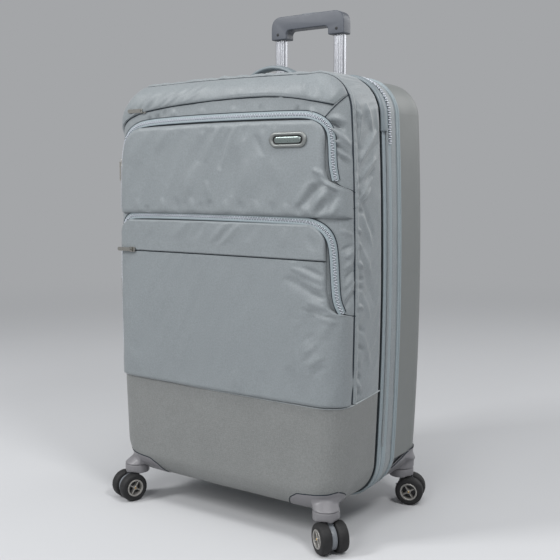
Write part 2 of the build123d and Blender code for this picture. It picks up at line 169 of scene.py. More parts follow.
def sideways(path):
    """Unit direction across a path at each of its points, to the right of travel."""
    tangent = np.gradient(path, axis=0)
    tangent /= np.linalg.norm(tangent, axis=1)[:, None]
    return np.stack([tangent[:, 1], -tangent[:, 0]], -1)


OUTLINE_POINTS = 940
ARC_STEPS = 40


def outline():
    """Straight-sided case outline from bottom middle, anticlockwise seen from the front."""
    w, h = HALF_W - CORNER, HALF_H - CORNER
    p = [(0.0, -HALF_H)]
    for cx, cz, start in ((w, -h, -90), (w, h, 0), (-w, h, 90), (-w, -h, 180)):
        for k in range(ARC_STEPS + 1):
            a = radians(start + 90 * k / ARC_STEPS)
            p.append((cx + CORNER * cos(a), cz + CORNER * sin(a)))
    closed = np.array(p + p[:1])
    s = run_length(closed)
    t = np.arange(OUTLINE_POINTS) / OUTLINE_POINTS * s[-1]
    x, z = (np.interp(t, s, closed[:, i]) for i in (0, 1))
    qx = np.maximum(abs(x) - w, 0) * np.sign(x)
    qz = np.maximum(abs(z) - h, 0) * np.sign(z)
    length = np.hypot(qx, qz)
    return x, z + MID_Z, qx / length, qz / length, t


RING = outline()  # x, z, outward normal x and z, and the distance along it, at each point
PERIMETER = RING[4][-1] + RING[4][1]
BOTTOM_RUN = HALF_W - CORNER
CORNER_RUN = CORNER * pi / 2


def side_run(z, left=False):
    """Distance along the outline of a height on the right or left side."""
    s = BOTTOM_RUN + CORNER_RUN + z - (BOTTOM + CORNER)
    return PERIMETER - s if left else s


RING_HANG = 0.0085


def ring_point(index, y, lift):
    """Point of the case outline at a depth, lifted off it; index picks the outline's samples."""
    x, z, nx, nz, _ = (a[index] for a in RING)
    bx, bz = bow(x + nx * lift, z + nz * lift)
    y = np.broadcast_to(y, bx.shape)
    # the zipped ring hangs a little below the two halves along the bottom
    low = np.clip((0.125 - bz) / 0.055, 0, 1)
    hang = RING_HANG * eased(low) * np.clip((y + 0.0095) / 0.006, 0, 1)
    bz = bz - hang * (1 - np.clip(y / 0.056, 0, 1) ** 2)
    return np.stack(slump(bx, y, bz), -1)


# ---------------------------------------------------------------- noise and creases

def noise1(n, cells, seed, closed=True):
    """Smooth random curve of n samples in -1..1; closed when its end meets its start."""
    v = np.random.default_rng(seed).uniform(-1, 1, cells + (0 if closed else 1))
    t = np.arange(n) / n * cells
    i = t.astype(int)
    f = eased(t - i)
    last = cells if closed else cells + 1
    return v[i % last] * (1 - f) + v[(i + 1) % last] * f


def noise2(u, v, size, seed):
    """Smooth random field in -1..1 with features of a given size."""
    table = np.random.default_rng(seed).uniform(-1, 1, (97, 97))
    a, b = np.asarray(u) / size + 31.3, np.asarray(v) / size + 17.7
    i, j = np.floor(a).astype(int), np.floor(b).astype(int)
    f, g = eased(a - i), eased(b - j)
    at = lambda m, n: table[m % 97, n % 97]
    low = at(i, j) * (1 - f) + at(i + 1, j) * f
    high = at(i, j + 1) * (1 - f) + at(i + 1, j + 1) * f
    return low * (1 - g) + high * g


def crease(u, z, a, b, height, width, bend=0.0):
    """Soft ridge (or valley) from a to b, thinning out at both ends; all in mm."""
    ax, az, bx, bz = (v / 1000 for v in (*a, *b))
    dx, dz = bx - ax, bz - az
    length = hypot(dx, dz)
    t = ((u - ax) * dx + (z - az) * dz) / length**2
    off = ((u - ax) * dz - (z - az) * dx) / length
    tc = np.clip(t, 0, 1)
    off = off - bend / 1000 * 4 * tc * (1 - tc)
    end = np.where(t < 0, -t, np.where(t > 1, t - 1, 0)) * length
    fade = np.sqrt(np.maximum(np.sin(pi * np.clip(t * 0.96 + 0.02, 0, 1)), 0))
    w = width / 1000 * (0.45 + 0.55 * np.sin(pi * np.clip(t, 0.08, 0.92)))
    return height / 1000 * fade * np.exp(-(off**2 + end**2) / w**2)


def creases(u, z, rows, gain=1.0, narrow=1.0):
    """Sum of the creases in rows, each with the values that crease() takes."""
    total = np.zeros(np.broadcast(u, z).shape)
    for row in rows:
        total += crease(u, z, *row[:3], row[3] * narrow, *row[4:])
    return CREASE_GAIN * gain * total


def folds(u, z, angle, size, seed):
    """Uneven soft folds running at an angle (degrees from level) across the cloth."""
    c, s = cos(radians(angle)), sin(radians(angle))
    return noise2((s * u - c * z) * 4.5, c * u + s * z, size, seed)


# ---------------------------------------------------------------- meshes

def grid_faces(rows, cols, wrap_rows=False, wrap_cols=False, flip=False):
    """Quads of a grid of points, joined to itself across rows or columns where asked."""
    i = np.arange(rows if wrap_rows else rows - 1)[:, None]
    j = np.arange(cols if wrap_cols else cols - 1)[None, :]
    i2, j2 = (i + 1) % rows, (j + 1) % cols
    corners = [i * cols + j, i * cols + j2, i2 * cols + j2, i2 * cols + j]
    if flip:
        corners.reverse()
    return np.stack(corners, -1).reshape(-1, 4)


def new_object(name, data):
    obj = bpy.data.objects.new(name, data)
    bpy.context.scene.collection.objects.link(obj)
    return obj


def object_from(bm, name, material):
    """Object made of a bmesh, which is freed."""
    mesh = bpy.data.meshes.new(name)
    bm.to_mesh(mesh)
    bm.free()
    mesh.materials.append(material)
    return new_object(name, mesh)


def attach(obj, body, slot, hides=()):
    """Parent a piece to the empty of the body it rides on, and hide the CAD nodes it stands in for. slot is not
    used.
    """
    if body:
        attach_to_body(obj, body)
    if hides:
        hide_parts(*hides)
    return obj


def add_mesh(name, points, faces, material, body, slot, hides=(), smooth=True, weld=0.0):
    mesh = bpy.data.meshes.new(name)
    mesh.from_pydata(np.asarray(points, float).reshape(-1, 3).tolist(), [],
                     [list(map(int, f)) for f in faces])
    if weld:
        bm = bmesh.new()
        bm.from_mesh(mesh)
        bmesh.ops.remove_doubles(bm, verts=bm.verts, dist=weld)
        bm.to_mesh(mesh)
        bm.free()
    mesh.materials.append(material)
    mesh.polygons.foreach_set("use_smooth", [smooth] * len(mesh.polygons))
    return attach(new_object(name, mesh), body, slot, hides)


def apply_modifiers(obj):
    graph = bpy.context.evaluated_depsgraph_get()
    mesh = bpy.data.meshes.new_from_object(obj.evaluated_get(graph))
    obj.modifiers.clear()
    obj.data = mesh
    return obj


def ring_piece(name, profile, material, body, slot="trim", hides=(), swell=None, closed=False,
               span=None, flip=False):
    """Sweep a (y, lift) profile in mm round the case outline, all of it or a span."""
    index = np.arange(len(RING[4]))
    if span:
        index = index[(RING[4] >= span[0]) & (RING[4] <= span[1])]
    rise = swell(RING[4][index]) if swell else 0.0
    points = np.stack([ring_point(index, y / 1000, lift / 1000 + rise) for y, lift in profile])
    faces = grid_faces(len(points), len(index), closed, not span, flip)
    if span and closed:
        for col, rev in ((0, False), (len(index) - 1, True)):
            cap = [k * len(index) + col for k in range(len(points))]
            faces = list(map(list, faces)) + [cap[::-1] if rev != flip else cap]
    return add_mesh(name, points, faces, material, body, slot, hides)


def strip(name, path, profile, material, slot="trim", body="front_half", ripple=None, back=False):
    """Sweep an (across, lift) profile in mm along a path on the case's skin."""
    side = sideways(path)
    rows = []
    for k, (across, lift) in enumerate(profile):
        p = path + side * (across / 1000)
        rows.append(drape(p[:, 0], p[:, 1], lift / 1000 + (ripple(k) if ripple else 0.0), back))
    return add_mesh(name, np.stack(rows), grid_faces(len(rows), len(path)), material, body, slot)


TOOTH = [(-1, -1, 0), (1, -1, 0), (1, 1, 0), (-1, 1, 0),
         (-0.7, -0.5, 1), (0.7, -0.5, 1), (0.7, 0.5, 1), (-0.7, 0.5, 1)]
TOOTH_FACES = [(0, 1, 5, 4), (1, 2, 6, 5), (2, 3, 7, 6), (3, 0, 4, 7), (4, 5, 6, 7), (3, 2, 1, 0)]


def teeth(name, path, body, pitch, size, lift, place=drape):
    """Coil teeth: short rounded bars, stepped left and right along a path; size and lift in mm."""
    p = even(path, pitch)
    side = sideways(p)
    tangent = np.stack([-side[:, 1], side[:, 0]], -1)
    length, wide, high = (v / 1000 for v in size)
    step = np.where(np.arange(len(p)) % 2 == 0, 1.0, -1.0)[:, None] * side * length * 0.16
    points = []
    for a, b, c in TOOTH:
        q = p + step + side * (a * length / 2) + tangent * (b * wide / 2)
        points.append(place(q[:, 0], q[:, 1], lift / 1000 + (c - 0.4) * high))
    faces = np.array(TOOTH_FACES)[None] + 8 * np.arange(len(p))[:, None, None]
    add_mesh(name, np.stack(points, 1), faces.reshape(-1, 4), COIL, body, "trim", smooth=False)


def spaced(start, end, fine, coarse, band):
    """Positions from start to end, closely spaced within a band of either end."""
    out, x = [start], start
    while x < end:
        d = min(x - start, end - x)
        x += fine + (coarse - fine) * min(max(d / band, 0), 1)
        out.append(x)
    out = np.array(out)
    return start + (out - start) * (end - start) / (out[-1] - start)


def rim_distance(u, z):
    """Distance of each point of a flat grid from the grid's rim."""
    rim = np.concatenate([
        np.stack([u[0], z[0]], -1), np.stack([u[-1], z[-1]], -1),
        np.stack([u[:, 0], z[:, 0]], -1), np.stack([u[:, -1], z[:, -1]], -1)])
    flat = np.stack([u.ravel(), z.ravel()], -1)
    inside = np.empty(len(flat))
    for k in range(0, len(flat), 4000):
        part = flat[k:k + 4000]
        inside[k:k + 4000] = np.sqrt(((part[:, None] - rim[None]) ** 2).sum(-1).min(1))
    return inside.reshape(u.shape)


def shoulder(inside, height, width, start):
    """Rise of a padded edge: steep at the seam, level further in."""
    t = np.clip(inside / width, 0, 1)
    return start + (height - start) * np.sqrt(1 - (1 - t) ** 2)


def prism(name, loop, depth, material, bevel, segments):
    """Solid from a flat loop of points, drawn out by a vector and given rounded edges."""
    bm = bmesh.new()
    face = bm.faces.new([bm.verts.new(p) for p in loop])
    moved = bmesh.ops.extrude_face_region(bm, geom=[face])["geom"]
    bmesh.ops.translate(bm, vec=Vector(depth), verts=[g for g in moved if isinstance(g, bmesh.types.BMVert)])
    bmesh.ops.recalc_face_normals(bm, faces=bm.faces)
    obj = object_from(bm, name, material)
    m = obj.modifiers.new("edge", "BEVEL")
    m.width, m.segments, m.limit_method, m.angle_limit = bevel, segments, "ANGLE", radians(50)
    apply_modifiers(obj)
    obj.data.polygons.foreach_set("use_smooth", [True] * len(obj.data.polygons))
    obj.data.set_sharp_from_angle(angle=radians(38))
    return obj


def round_loop(corners, y, radii, steps):
    """Closed loop in the XZ plane with each corner rounded to its own radius."""
    out = []
    for k, (x, z) in enumerate(corners):
        a = Vector(corners[k - 1]) - Vector((x, z))
        b = Vector(corners[(k + 1) % len(corners)]) - Vector((x, z))
        angle = a.angle(b)
        cut = radii[k] / max(sin(angle / 2), 1e-6) * cos(angle / 2)
        p, q = a.normalized() * cut, b.normalized() * cut
        for i in range(steps + 1):
            t = i / steps
            v = p * (1 - t) ** 2 + q * t * t
            out.append((x + v.x, y, z + v.y))
    return out


def end_caps(rows, cols):
    """Faces that close the first and the last row of a tube."""
    return [list(range(cols))[::-1], list(range((rows - 1) * cols, rows * cols))]


# ---------------------------------------------------------------- materials

def linear(c):
    """Linear value of an sRGB channel in 0..1."""
    return c / 12.92 if c <= 0.04045 else ((c + 0.055) / 1.055) ** 2.4


def material(name, rgb, roughness, mottle, mottle_size, metallic=0.0, sheen=0.0, specular=0.5,
             weave=None, diagonal=None, grain=None, streaks=False, spread=0.05):
    """Procedural finish: mottled colour, uneven gloss, and weave or grain as bump.
    weave, diagonal and grain are (size in mm, depth in mm)."""
    colour = [linear(c / 255) for c in rgb]
    mat = bpy.data.materials.new(name)
    mat.use_nodes = True
    tree = mat.node_tree
    tree.nodes.clear()

    def node(kind, **values):
        n = tree.nodes.new(kind)
        for key, value in values.items():
            if key in n.inputs:
                n.inputs[key].default_value = value
            else:
                setattr(n, key, value)
        return n

    link = tree.links.new
    out = node("ShaderNodeOutputMaterial")
    shader = node("ShaderNodeBsdfPrincipled", Metallic=metallic)
    shader.inputs["Specular IOR Level"].default_value = specular
    shader.inputs["Sheen Weight"].default_value = sheen
    shader.inputs["Sheen Roughness"].default_value = 0.4
    link(shader.outputs[0], out.inputs[0])
    where = node("ShaderNodeTexCoord").outputs["Object"]
    if streaks:
        squeeze = node("ShaderNodeMapping")
        squeeze.inputs["Scale"].default_value = (1.0, 1.0, 0.02)
        link(where, squeeze.inputs[0])
        where_tone = squeeze.outputs[0]
    else:
        where_tone = where
    tone = node("ShaderNodeTexNoise", Scale=1 / mottle_size, Detail=5.0, Roughness=0.62)
    link(where_tone, tone.inputs["Vector"])
    mix = node("ShaderNodeMix", data_type="RGBA")
    mix.inputs[6].default_value = tuple(c * (1 - mottle) for c in colour) + (1,)
    mix.inputs[7].default_value = tuple(min(c * (1 + mottle), 1) for c in colour) + (1,)
    if weave or diagonal:
        # cloth: most of the colour's variation is a speckle the size of its threads
        speck = node("ShaderNodeTexNoise", Scale=420.0, Detail=2.0, Roughness=0.8)
        link(where, speck.inputs["Vector"])
        blend = node("ShaderNodeMath", operation="MULTIPLY_ADD")
        blend.inputs[1].default_value = 2.8
        link(speck.outputs[0], blend.inputs[0])
        shift = node("ShaderNodeMath", operation="MULTIPLY_ADD")
        shift.inputs[1].default_value = 0.6
        shift.inputs[2].default_value = -1.2
        link(tone.outputs[0], shift.inputs[0])
        link(shift.outputs[0], blend.inputs[2])
        link(blend.outputs[0], mix.inputs[0])
    else:
        link(tone.outputs[0], mix.inputs[0])
    link(mix.outputs[2], shader.inputs["Base Color"])
    gloss = node("ShaderNodeMapRange")
    gloss.inputs["From Min"].default_value, gloss.inputs["From Max"].default_value = 0.25, 0.75
    gloss.inputs["To Min"].default_value = max(roughness - spread, 0.02)
    gloss.inputs["To Max"].default_value = min(roughness + spread, 1)
    fine = node("ShaderNodeTexNoise", Scale=2.5 / mottle_size, Detail=3.0)
    link(where_tone, fine.inputs["Vector"])
    link(fine.outputs[0], gloss.inputs["Value"])
    link(gloss.outputs[0], shader.inputs["Roughness"])
    last = None

    def bump(height, distance):
        nonlocal last
        b = node("ShaderNodeBump", Strength=1.0, Distance=distance / 1000)
        link(height, b.inputs["Height"])
        if last:
            link(last, b.inputs["Normal"])
        last = b.outputs[0]

    def waves(period, directions, depth):
        total = None
        for direction in directions:
            w = node("ShaderNodeTexWave", bands_direction=direction,
                     Scale=2 * pi / 20 / (period / 1000), Distortion=0.6)
            w.inputs["Detail Scale"].default_value = 2.0
            link(where, w.inputs["Vector"])
            if total:
                add = node("ShaderNodeMath", operation="ADD")
                link(total, add.inputs[0])
                link(w.outputs["Fac"], add.inputs[1])
                total = add.outputs[0]
            else:
                total = w.outputs["Fac"]
        bump(total, depth)

    if weave:
        waves(weave[0], "XYZ", weave[1])
    if diagonal:
        waves(diagonal[0], ("DIAGONAL",), diagonal[1])
    if grain:
        g = node("ShaderNodeTexNoise", Scale=1000 / grain[0], Detail=2.0)
        link(where, g.inputs["Vector"])
        bump(g.outputs[0], grain[1])
    if last:
        link(last, shader.inputs["Normal"])
    return mat


FABRIC = material("nylon_fabric", (130, 136, 139), 0.49, 0.10, 0.05, sheen=0.22, specular=0.42,
                  weave=(0.9, 0.012), grain=(2.2, 0.06))
# the front nylon again, a little darker: painted shade on the padded pockets and the top flap
PANEL_SHADED = material("nylon_padded_shaded", (126, 132, 135), 0.49, 0.10, 0.06, sheen=0.22, specular=0.42,
                 weave=(0.9, 0.012), grain=(2.2, 0.06))
TRIM = material("zip_tape", (141, 152, 157), 0.6, 0.06, 0.006, sheen=0.2, specular=0.3, weave=(1.1, 0.05))
COIL = material("zip_coil", (196, 201, 209), 0.34, 0.08, 0.004, specular=0.5, grain=(0.6, 0.02))
# dark seam colour: the thread, and painted shade of the gap along each seam
SEAM_AND_SHADE = material("seam_thread_and_shade", (40, 47, 54), 0.8, 0.2, 0.004, specular=0.2, diagonal=(1.2, 0.05))
STITCH = material("stitch_thread", (160, 166, 168), 0.6, 0.1, 0.004, specular=0.3, diagonal=(0.8, 0.05))
WELT = material("zip_flap", (118, 127, 132), 0.42, 0.05, 0.02, specular=0.5, weave=(0.8, 0.01))
BUCKET = material("bucket_twill", (121, 123, 122), 0.42, 0.13, 0.05, specular=0.45, weave=(3.8, 0.05),
                  diagonal=(2.2, 0.09), grain=(1.2, 0.03))
SHELL = material("hard_shell", (119, 122, 121), 0.5, 0.03, 0.08, specular=0.4, grain=(0.9, 0.05))
HOUSING = material("housing_plastic", (120, 119, 122), 0.4, 0.03, 0.03, specular=0.45, grain=(0.8, 0.02))
CASTER = material("caster_plastic", (116, 120, 125), 0.4, 0.04, 0.02, specular=0.45, grain=(0.7, 0.02))
FRAME = material("frame_plastic", (62, 64, 66), 0.55, 0.08, 0.02, grain=(0.8, 0.03))
GRIP = material("grip_plastic", (80, 84, 92), 0.42, 0.03, 0.04, specular=0.45, grain=(0.6, 0.025))
# dark cloth in grooves and gaps: painted shade where the cloth lies in shadow
GROOVE_SHADE = material("groove_cloth_painted_shade", (70, 76, 80), 0.75, 0.08, 0.01, specular=0.25, weave=(0.9, 0.02))
DARK = material("dark_recess", (26, 27, 29), 0.6, 0.15, 0.01, grain=(0.8, 0.02))
ALUMINIUM = material("brushed_aluminium", (176, 178, 183), 0.36, 0.06, 0.0016, metallic=1.0, streaks=True,
                     spread=0.08)
STEEL = material("steel", (150, 152, 155), 0.32, 0.1, 0.004, metallic=1.0, grain=(0.8, 0.01))
ZIP_METAL = material("zip_metal", (178, 176, 170), 0.3, 0.1, 0.003, metallic=1.0, grain=(0.8, 0.02))
BADGE = material("badge_metal", (126, 129, 128), 0.42, 0.06, 0.008, metallic=0.6, grain=(0.7, 0.01))
BADGE_PLATE = material("badge_plate", (132, 142, 140), 0.3, 0.08, 0.006, metallic=0.8, grain=(0.7, 0.01))
TYRE = material("tyre_rubber", (30, 30, 31), 0.62, 0.25, 0.012, specular=0.4, grain=(0.7, 0.04))
HUB = material("hub_plastic", (150, 148, 144), 0.35, 0.07, 0.01, metallic=0.35, grain=(0.7, 0.015))
HUB_DARK = material("hub_recess", (40, 41, 43), 0.5, 0.2, 0.01, grain=(0.7, 0.02))
BRASS = material("axle_brass", (176, 150, 104), 0.3, 0.12, 0.003, metallic=1.0, grain=(0.6, 0.01))
LINING = material("lining_cloth", (86, 90, 94), 0.7, 0.06, 0.04, sheen=0.15, specular=0.3,
                  diagonal=(1.4, 0.04), grain=(3.0, 0.05))
FLOOR = material("studio_floor", (200, 201, 203), 0.8, 0.012, 0.4, specular=0.2, grain=(2.0, 0.02))

SLOT_MATERIALS = {"shell": SHELL, "trim": TRIM, "fabric": FABRIC, "bucket": BUCKET,
                  "lining": LINING, "housing": HOUSING, "frame_plastic": FRAME,
                  "caster_plastic": CASTER, "steel": STEEL, "aluminium": ALUMINIUM,
                  "grip": GRIP, "zip_metal": ZIP_METAL, "badge_metal": BADGE, "tyre": TYRE,
                  "hub": HUB, "axle_brass": BRASS}
for entry in frame["record"]["subparts"]:
    node = frame["nodes"].get(entry["node"])
    if node:
        node.data.materials.clear()
        node.data.materials.append(SLOT_MATERIALS[entry["material_slot"]])


# ---------------------------------------------------------------- soft front body

SKIN_REACH = ROLL + (FRONT_END - FRONT_Y - FRONT_EDGE)
SEAM_Y = -0.102  # depth of the perimeter seam on the sides
SEAM_U = HALF_W - FRONT_EDGE + 0.0620  # and its place on the skin laid flat


def side_u(y_mm):
    """Flat-skin coordinate (mm) of a depth on the side wall."""
    return (HALF_W - FRONT_EDGE + ROLL) * 1000 + y_mm - (FRONT_Y + FRONT_EDGE) * 1000


def on_side(rows, side):
    """Creases of a side wall, listed as (y, z) places, on the skin laid flat."""
    return [((side * side_u(a[0]), a[1]), (side * side_u(b[0]), b[1]), *rest) for a, b, *rest in rows]


def past_flat(u, z):
    """Distance of a skin point from the flat middle of the front."""
    return np.hypot(np.maximum(abs(u) - (HALF_W - CORNER), 0),
                    np.maximum(abs(z - MID_Z) - (HALF_H - CORNER), 0)) - (CORNER - FRONT_EDGE)


def clip_skin(u, z):
    """Pull points beyond the skin's back edge onto it, and say which were inside."""
    w = z - MID_Z
    px = np.maximum(abs(u) - (HALF_W - CORNER), 0)
    pz = np.maximum(abs(w) - (HALF_H - CORNER), 0)
    length = np.maximum(np.hypot(px, pz), 1e-9)
    k = np.minimum((CORNER - FRONT_EDGE + SKIN_REACH) / length, 1)
    cu, cw = np.minimum(abs(u), HALF_W - CORNER), np.minimum(abs(w), HALF_H - CORNER)
    return np.sign(u) * (cu + px * k), MID_Z + np.sign(w) * (cw + pz * k), k < 1


FRONT_CREASES = [
    ((226, 700), (254, 689), -3.2, 6), ((223, 696), (263, 664), 3.6, 7), ((227, 686), (242, 672), -3.0, 5),
    ((235, 667), (259, 651), -3.4, 6), ((230, 676), (262, 652), 2.4, 5), ((237, 653), (262, 629), -2.4, 4),
    ((236, 660), (264, 640), 2.0, 5), ((231, 708), (259, 701), 2.0, 6), ((244, 497), (266, 505), -2.2, 4),
    ((248, 484), (267, 496), 2.0, 4), ((250, 452), (268, 464), -2.2, 4), ((248, 466), (266, 480), 2.0, 4),
    ((247, 400), (268, 430), -2.4, 5), ((249, 418), (268, 446), 2.2, 4), ((242, 530), (266, 520), 1.6, 5),
    ((246, 436), (267, 452), 1.6, 4), ((-119, 731), (-124, 716), -1.4, 5),
    ((-137, 726), (-142, 711), -1.8, 5), ((-156, 722), (-163, 710), -1.6, 6),
    ((-98, 730), (-101, 718), 1.2, 6), ((174, 726), (167, 713), -1.6, 4), ((184, 716), (192, 703), -2.0, 4),
    ((196, 722), (204, 706), 1.4, 6), ((40, 728), (36, 716), 0.8, 7), ((-30, 729), (-35, 717), 0.8, 8),
    ((100, 729), (95, 716), -0.8, 6),
]
RIGHT_CREASES = [
    ((-30, 690), (-86, 634), 3.0, 9, 5), ((-22, 672), (-80, 612), -1.6, 10, 5),
    ((-36, 646), (-80, 612), 3.0, 8, 4), ((-40, 628), (-80, 590), -2.0, 7),
    ((-48, 614), (-86, 579), 3.0, 7, 3), ((-54, 596), (-80, 574), 2.4, 6),
    ((-86, 745), (-88, 660), 2.4, 6, -4), ((-92, 730), (-84, 640), -1.4, 5),
    ((-60, 748), (-40, 690), 1.8, 9, 4), ((-30, 742), (-20, 680), 1.0, 8), ((-78, 572), (-44, 516), -1.2, 9),
    ((-82, 556), (-50, 500), 1.2, 8), ((-84, 500), (-52, 452), 1.0, 10), ((-80, 470), (-40, 400), -0.8, 12),
    ((-84, 430), (-56, 380), 0.9, 9), ((-80, 360), (-50, 300), 0.8, 11),
]
LEFT_CREASES = [
    ((-30, 694), (-86, 646), 2.6, 9, -5), ((-38, 660), (-84, 620), 2.4, 8),
    ((-46, 630), (-84, 590), -2.0, 8), ((-50, 610), (-86, 572), 2.2, 7), ((-84, 540), (-48, 492), 1.2, 9),
    ((-82, 470), (-50, 420), -1.0, 10), ((-60, 748), (-40, 696), 1.6, 9), ((-84, 400), (-52, 350), 1.0, 10),
    ((-80, 330), (-46, 290), 0.9, 10),
]


def seam_puckers():
    """Short folds that start at the perimeter seam, on both sides of the case."""
    rng = np.random.default_rng(57)
    rows = []
    for side in (1, -1):
        z = 262.0
        while z < 735:
            run, drop = rng.uniform(11, 26), rng.uniform(2, 16)
            pucker = ((-97, z), (run - 97, z - drop), rng.uniform(1.4, 2.6) * rng.choice((1, -1)),
                      rng.uniform(5, 6.5))
            rows += on_side([pucker], side)
            z += rng.uniform(13, 34)
    return rows


def front_skin():
    """Cloth of the front half, from the middle of its face to its open edge."""
    step = 0.0026
    half_u, half_z = HALF_W - FRONT_EDGE + SKIN_REACH, HALF_H - FRONT_EDGE + SKIN_REACH
    nu, nz = int(2 * half_u / step), int(2 * half_z / step)
    u, z = np.meshgrid(np.linspace(-half_u, half_u, nu), MID_Z + np.linspace(-half_z, half_z, nz))
    cu, cz, clipped = clip_skin(u, z)
    lift = creases(cu, cz, FRONT_CREASES, 1.4, 0.85)
    sides = on_side(RIGHT_CREASES, 1) + on_side(LEFT_CREASES, -1) + seam_puckers()
    lift += creases(cu, cz, sides, 1.8, 0.68)
    lift += 0.0007 * noise2(cu, cz, 0.045, 3) + 0.00035 * noise2(cu, cz, 0.018, 4)
    out = past_flat(cu, cz)
    beyond = np.clip((out - 0.066) / 0.008, 0, 1) * np.clip((SKIN_REACH - out) / 0.02, 0, 1)
    lift += 0.0011 * folds(cu, cz, 45, 0.05, 71) * beyond + 0.0004 * folds(cu, cz, 62, 0.05, 72)
    # the side wall swells between the seam and its open edge
    y = FRONT_Y + FRONT_EDGE + np.maximum(out - ROLL, 0)
    t = np.clip((y - SEAM_Y) / (FRONT_END - SEAM_Y), 0, 1)
    lift += np.where(out > ROLL - 0.004, 0.0028 * np.sin(pi * t) ** 0.8 - 0.0004, 0)
    edge = np.clip((SKIN_REACH - out) / 0.011, 0, 1)
    lift = lift * edge - 0.0042 * (1 - edge) ** 2.2
    # the cloth is held flat where pockets and bucket lie over it
    under = (abs(cu) < 0.205) & (cz > 0.262) & (cz < 0.695)
    lift = np.where(under, -0.0015, lift)
    low = np.clip((0.246 - cz) / 0.01, 0, 1)
    lift = lift * (1 - low) - (0.0016 + 0.0062 * (1 - np.clip((SKIN_REACH - out) / 0.017, 0, 1)) ** 2) * low
    faces = grid_faces(nz, nu)
    gone = clipped.ravel()[faces].all(1)
    add_mesh("front_fabric", drape(cu, cz, lift), faces[~gone], FABRIC, "front_half", "fabric",
             ["front_shell"], weld=2e-5)


front_skin()
LINING_INSET = 0.0042


def lining_shell(name, y_face, y_end, edge, body, front):
    """Inner lining of one half: an open tray a little inside the outer skin."""
    y_roll = y_face + (edge if front else -edge)
    rows = [(y_end, -LINING_INSET), ((y_roll + y_end) / 2, -LINING_INSET)]
    for k in range(9):
        a = radians(90 * k / 8)
        rows.append((y_roll + (y_face - y_roll) * sin(a), -LINING_INSET - edge * (1 - cos(a))))
    points = [ring_point(np.arange(0, len(RING[4]), 5), y, lift) for y, lift in rows]
    rim, centre = points[-1], points[-1].mean(0)
    points += [centre + (rim - centre) * m for m in (0.8, 0.55, 0.3, 0.1)]
    add_mesh(name, points, grid_faces(len(points), len(rim), False, True, front), LINING, body, "lining")


lining_shell("front_lining", FRONT_Y + 0.0045, FRONT_END - 0.0006, 0.04, "front_half", True)
ring_piece("front_edge_binding", [(-9.5, -3.4), (-8.2, -4.0), (-7.7, -5.2), (-8.0, -8.5), (-9, -9.5),
                                  (-12, -9.5)], TRIM, "front_half", flip=True)


# ---- panels and pockets on the front

def row_edge(points_mm):
    """Edge of a panel as a function of height, from seam points."""
    p = unrolled(points_mm)
    p = p[np.argsort(p[:, 1])]
    return lambda z: np.clip(np.interp(z, p[:, 1], p[:, 0]), -SEAM_U, SEAM_U)


def rounded(edge_u, z_top, radius, sign):
    """Edge that turns in by a quarter circle at its top."""
    def at(z):
        d = np.clip((z - (z_top - radius)) / radius, 0, 1)
        return edge_u(z) - sign * radius * (1 - np.sqrt(np.maximum(1 - d * d, 0)))
    return at


UPPER_CREASES = [
    ((22, 701), (-17, 639), 2.2, 8, 3), ((38, 690), (12, 626), -2.4, 8, 3),
    ((55, 700), (20, 632), 2.2, 8, 4), ((73, 702), (64, 672), -1.6, 6), ((-36, 636), (-66, 570), 2.0, 10, 3),
    ((-94, 697), (-136, 662), 1.6, 12, 3), ((-18, 606), (-10, 570), 1.6, 8),
    ((48, 660), (38, 580), -1.8, 11), ((89, 680), (106, 648), -1.8, 7), ((106, 702), (107, 684), -1.2, 5),
    ((88, 648), (79, 580), 1.2, 14), ((-70, 690), (-110, 600), -1.2, 14, 6),
    ((-10, 690), (-52, 600), -1.4, 12, 6), ((120, 640), (140, 600), 0.9, 14),
    ((-150, 690), (-200, 640), 1.2, 16, 6), ((-170, 640), (-196, 590), -1.0, 16),
    ((0, 660), (-14, 585), 1.2, 9), ((70, 640), (52, 575), 1.2, 10), ((218, 603), (180, 566), -5.0, 9, 2),
    ((206, 606), (172, 570), 2.4, 8), ((236, 594), (226, 560), -3.6, 6), ((228, 600), (202, 560), 3.4, 7),
    ((222, 578), (206, 550), -3.6, 6), ((236, 580), (230, 553), 2.4, 5), ((204, 625), (238, 607), 3.0, 5),
    ((214, 612), (238, 593), 2.4, 5), ((176, 570), (172, 552), -2.2, 6), ((192, 566), (186, 552), 2.0, 5),
    ((-159, 562), (-154, 549), -1.8, 6), ((-120, 575), (-114, 549), 1.8, 7),
    ((-90, 576), (-80, 549), -1.8, 7), ((-53, 576), (-47, 549), 1.8, 7), ((-7, 572), (-11, 549), -1.8, 7),
    ((25, 574), (26, 549), 1.6, 7), ((-30, 570), (-30, 550), -1.2, 6), ((56, 572), (60, 550), -1.6, 7),
    ((88, 574), (92, 550), 1.4, 7), ((120, 572), (124, 550), -1.4, 7), ((150, 570), (150, 550), 1.4, 6),
    ((-182, 574), (-176, 550), 1.4, 7), ((130, 702), (132, 690), -0.8, 5), ((-20, 702), (-26, 686), -1.2, 5),
    ((4, 703), (-2, 688), 1.0, 5),
]
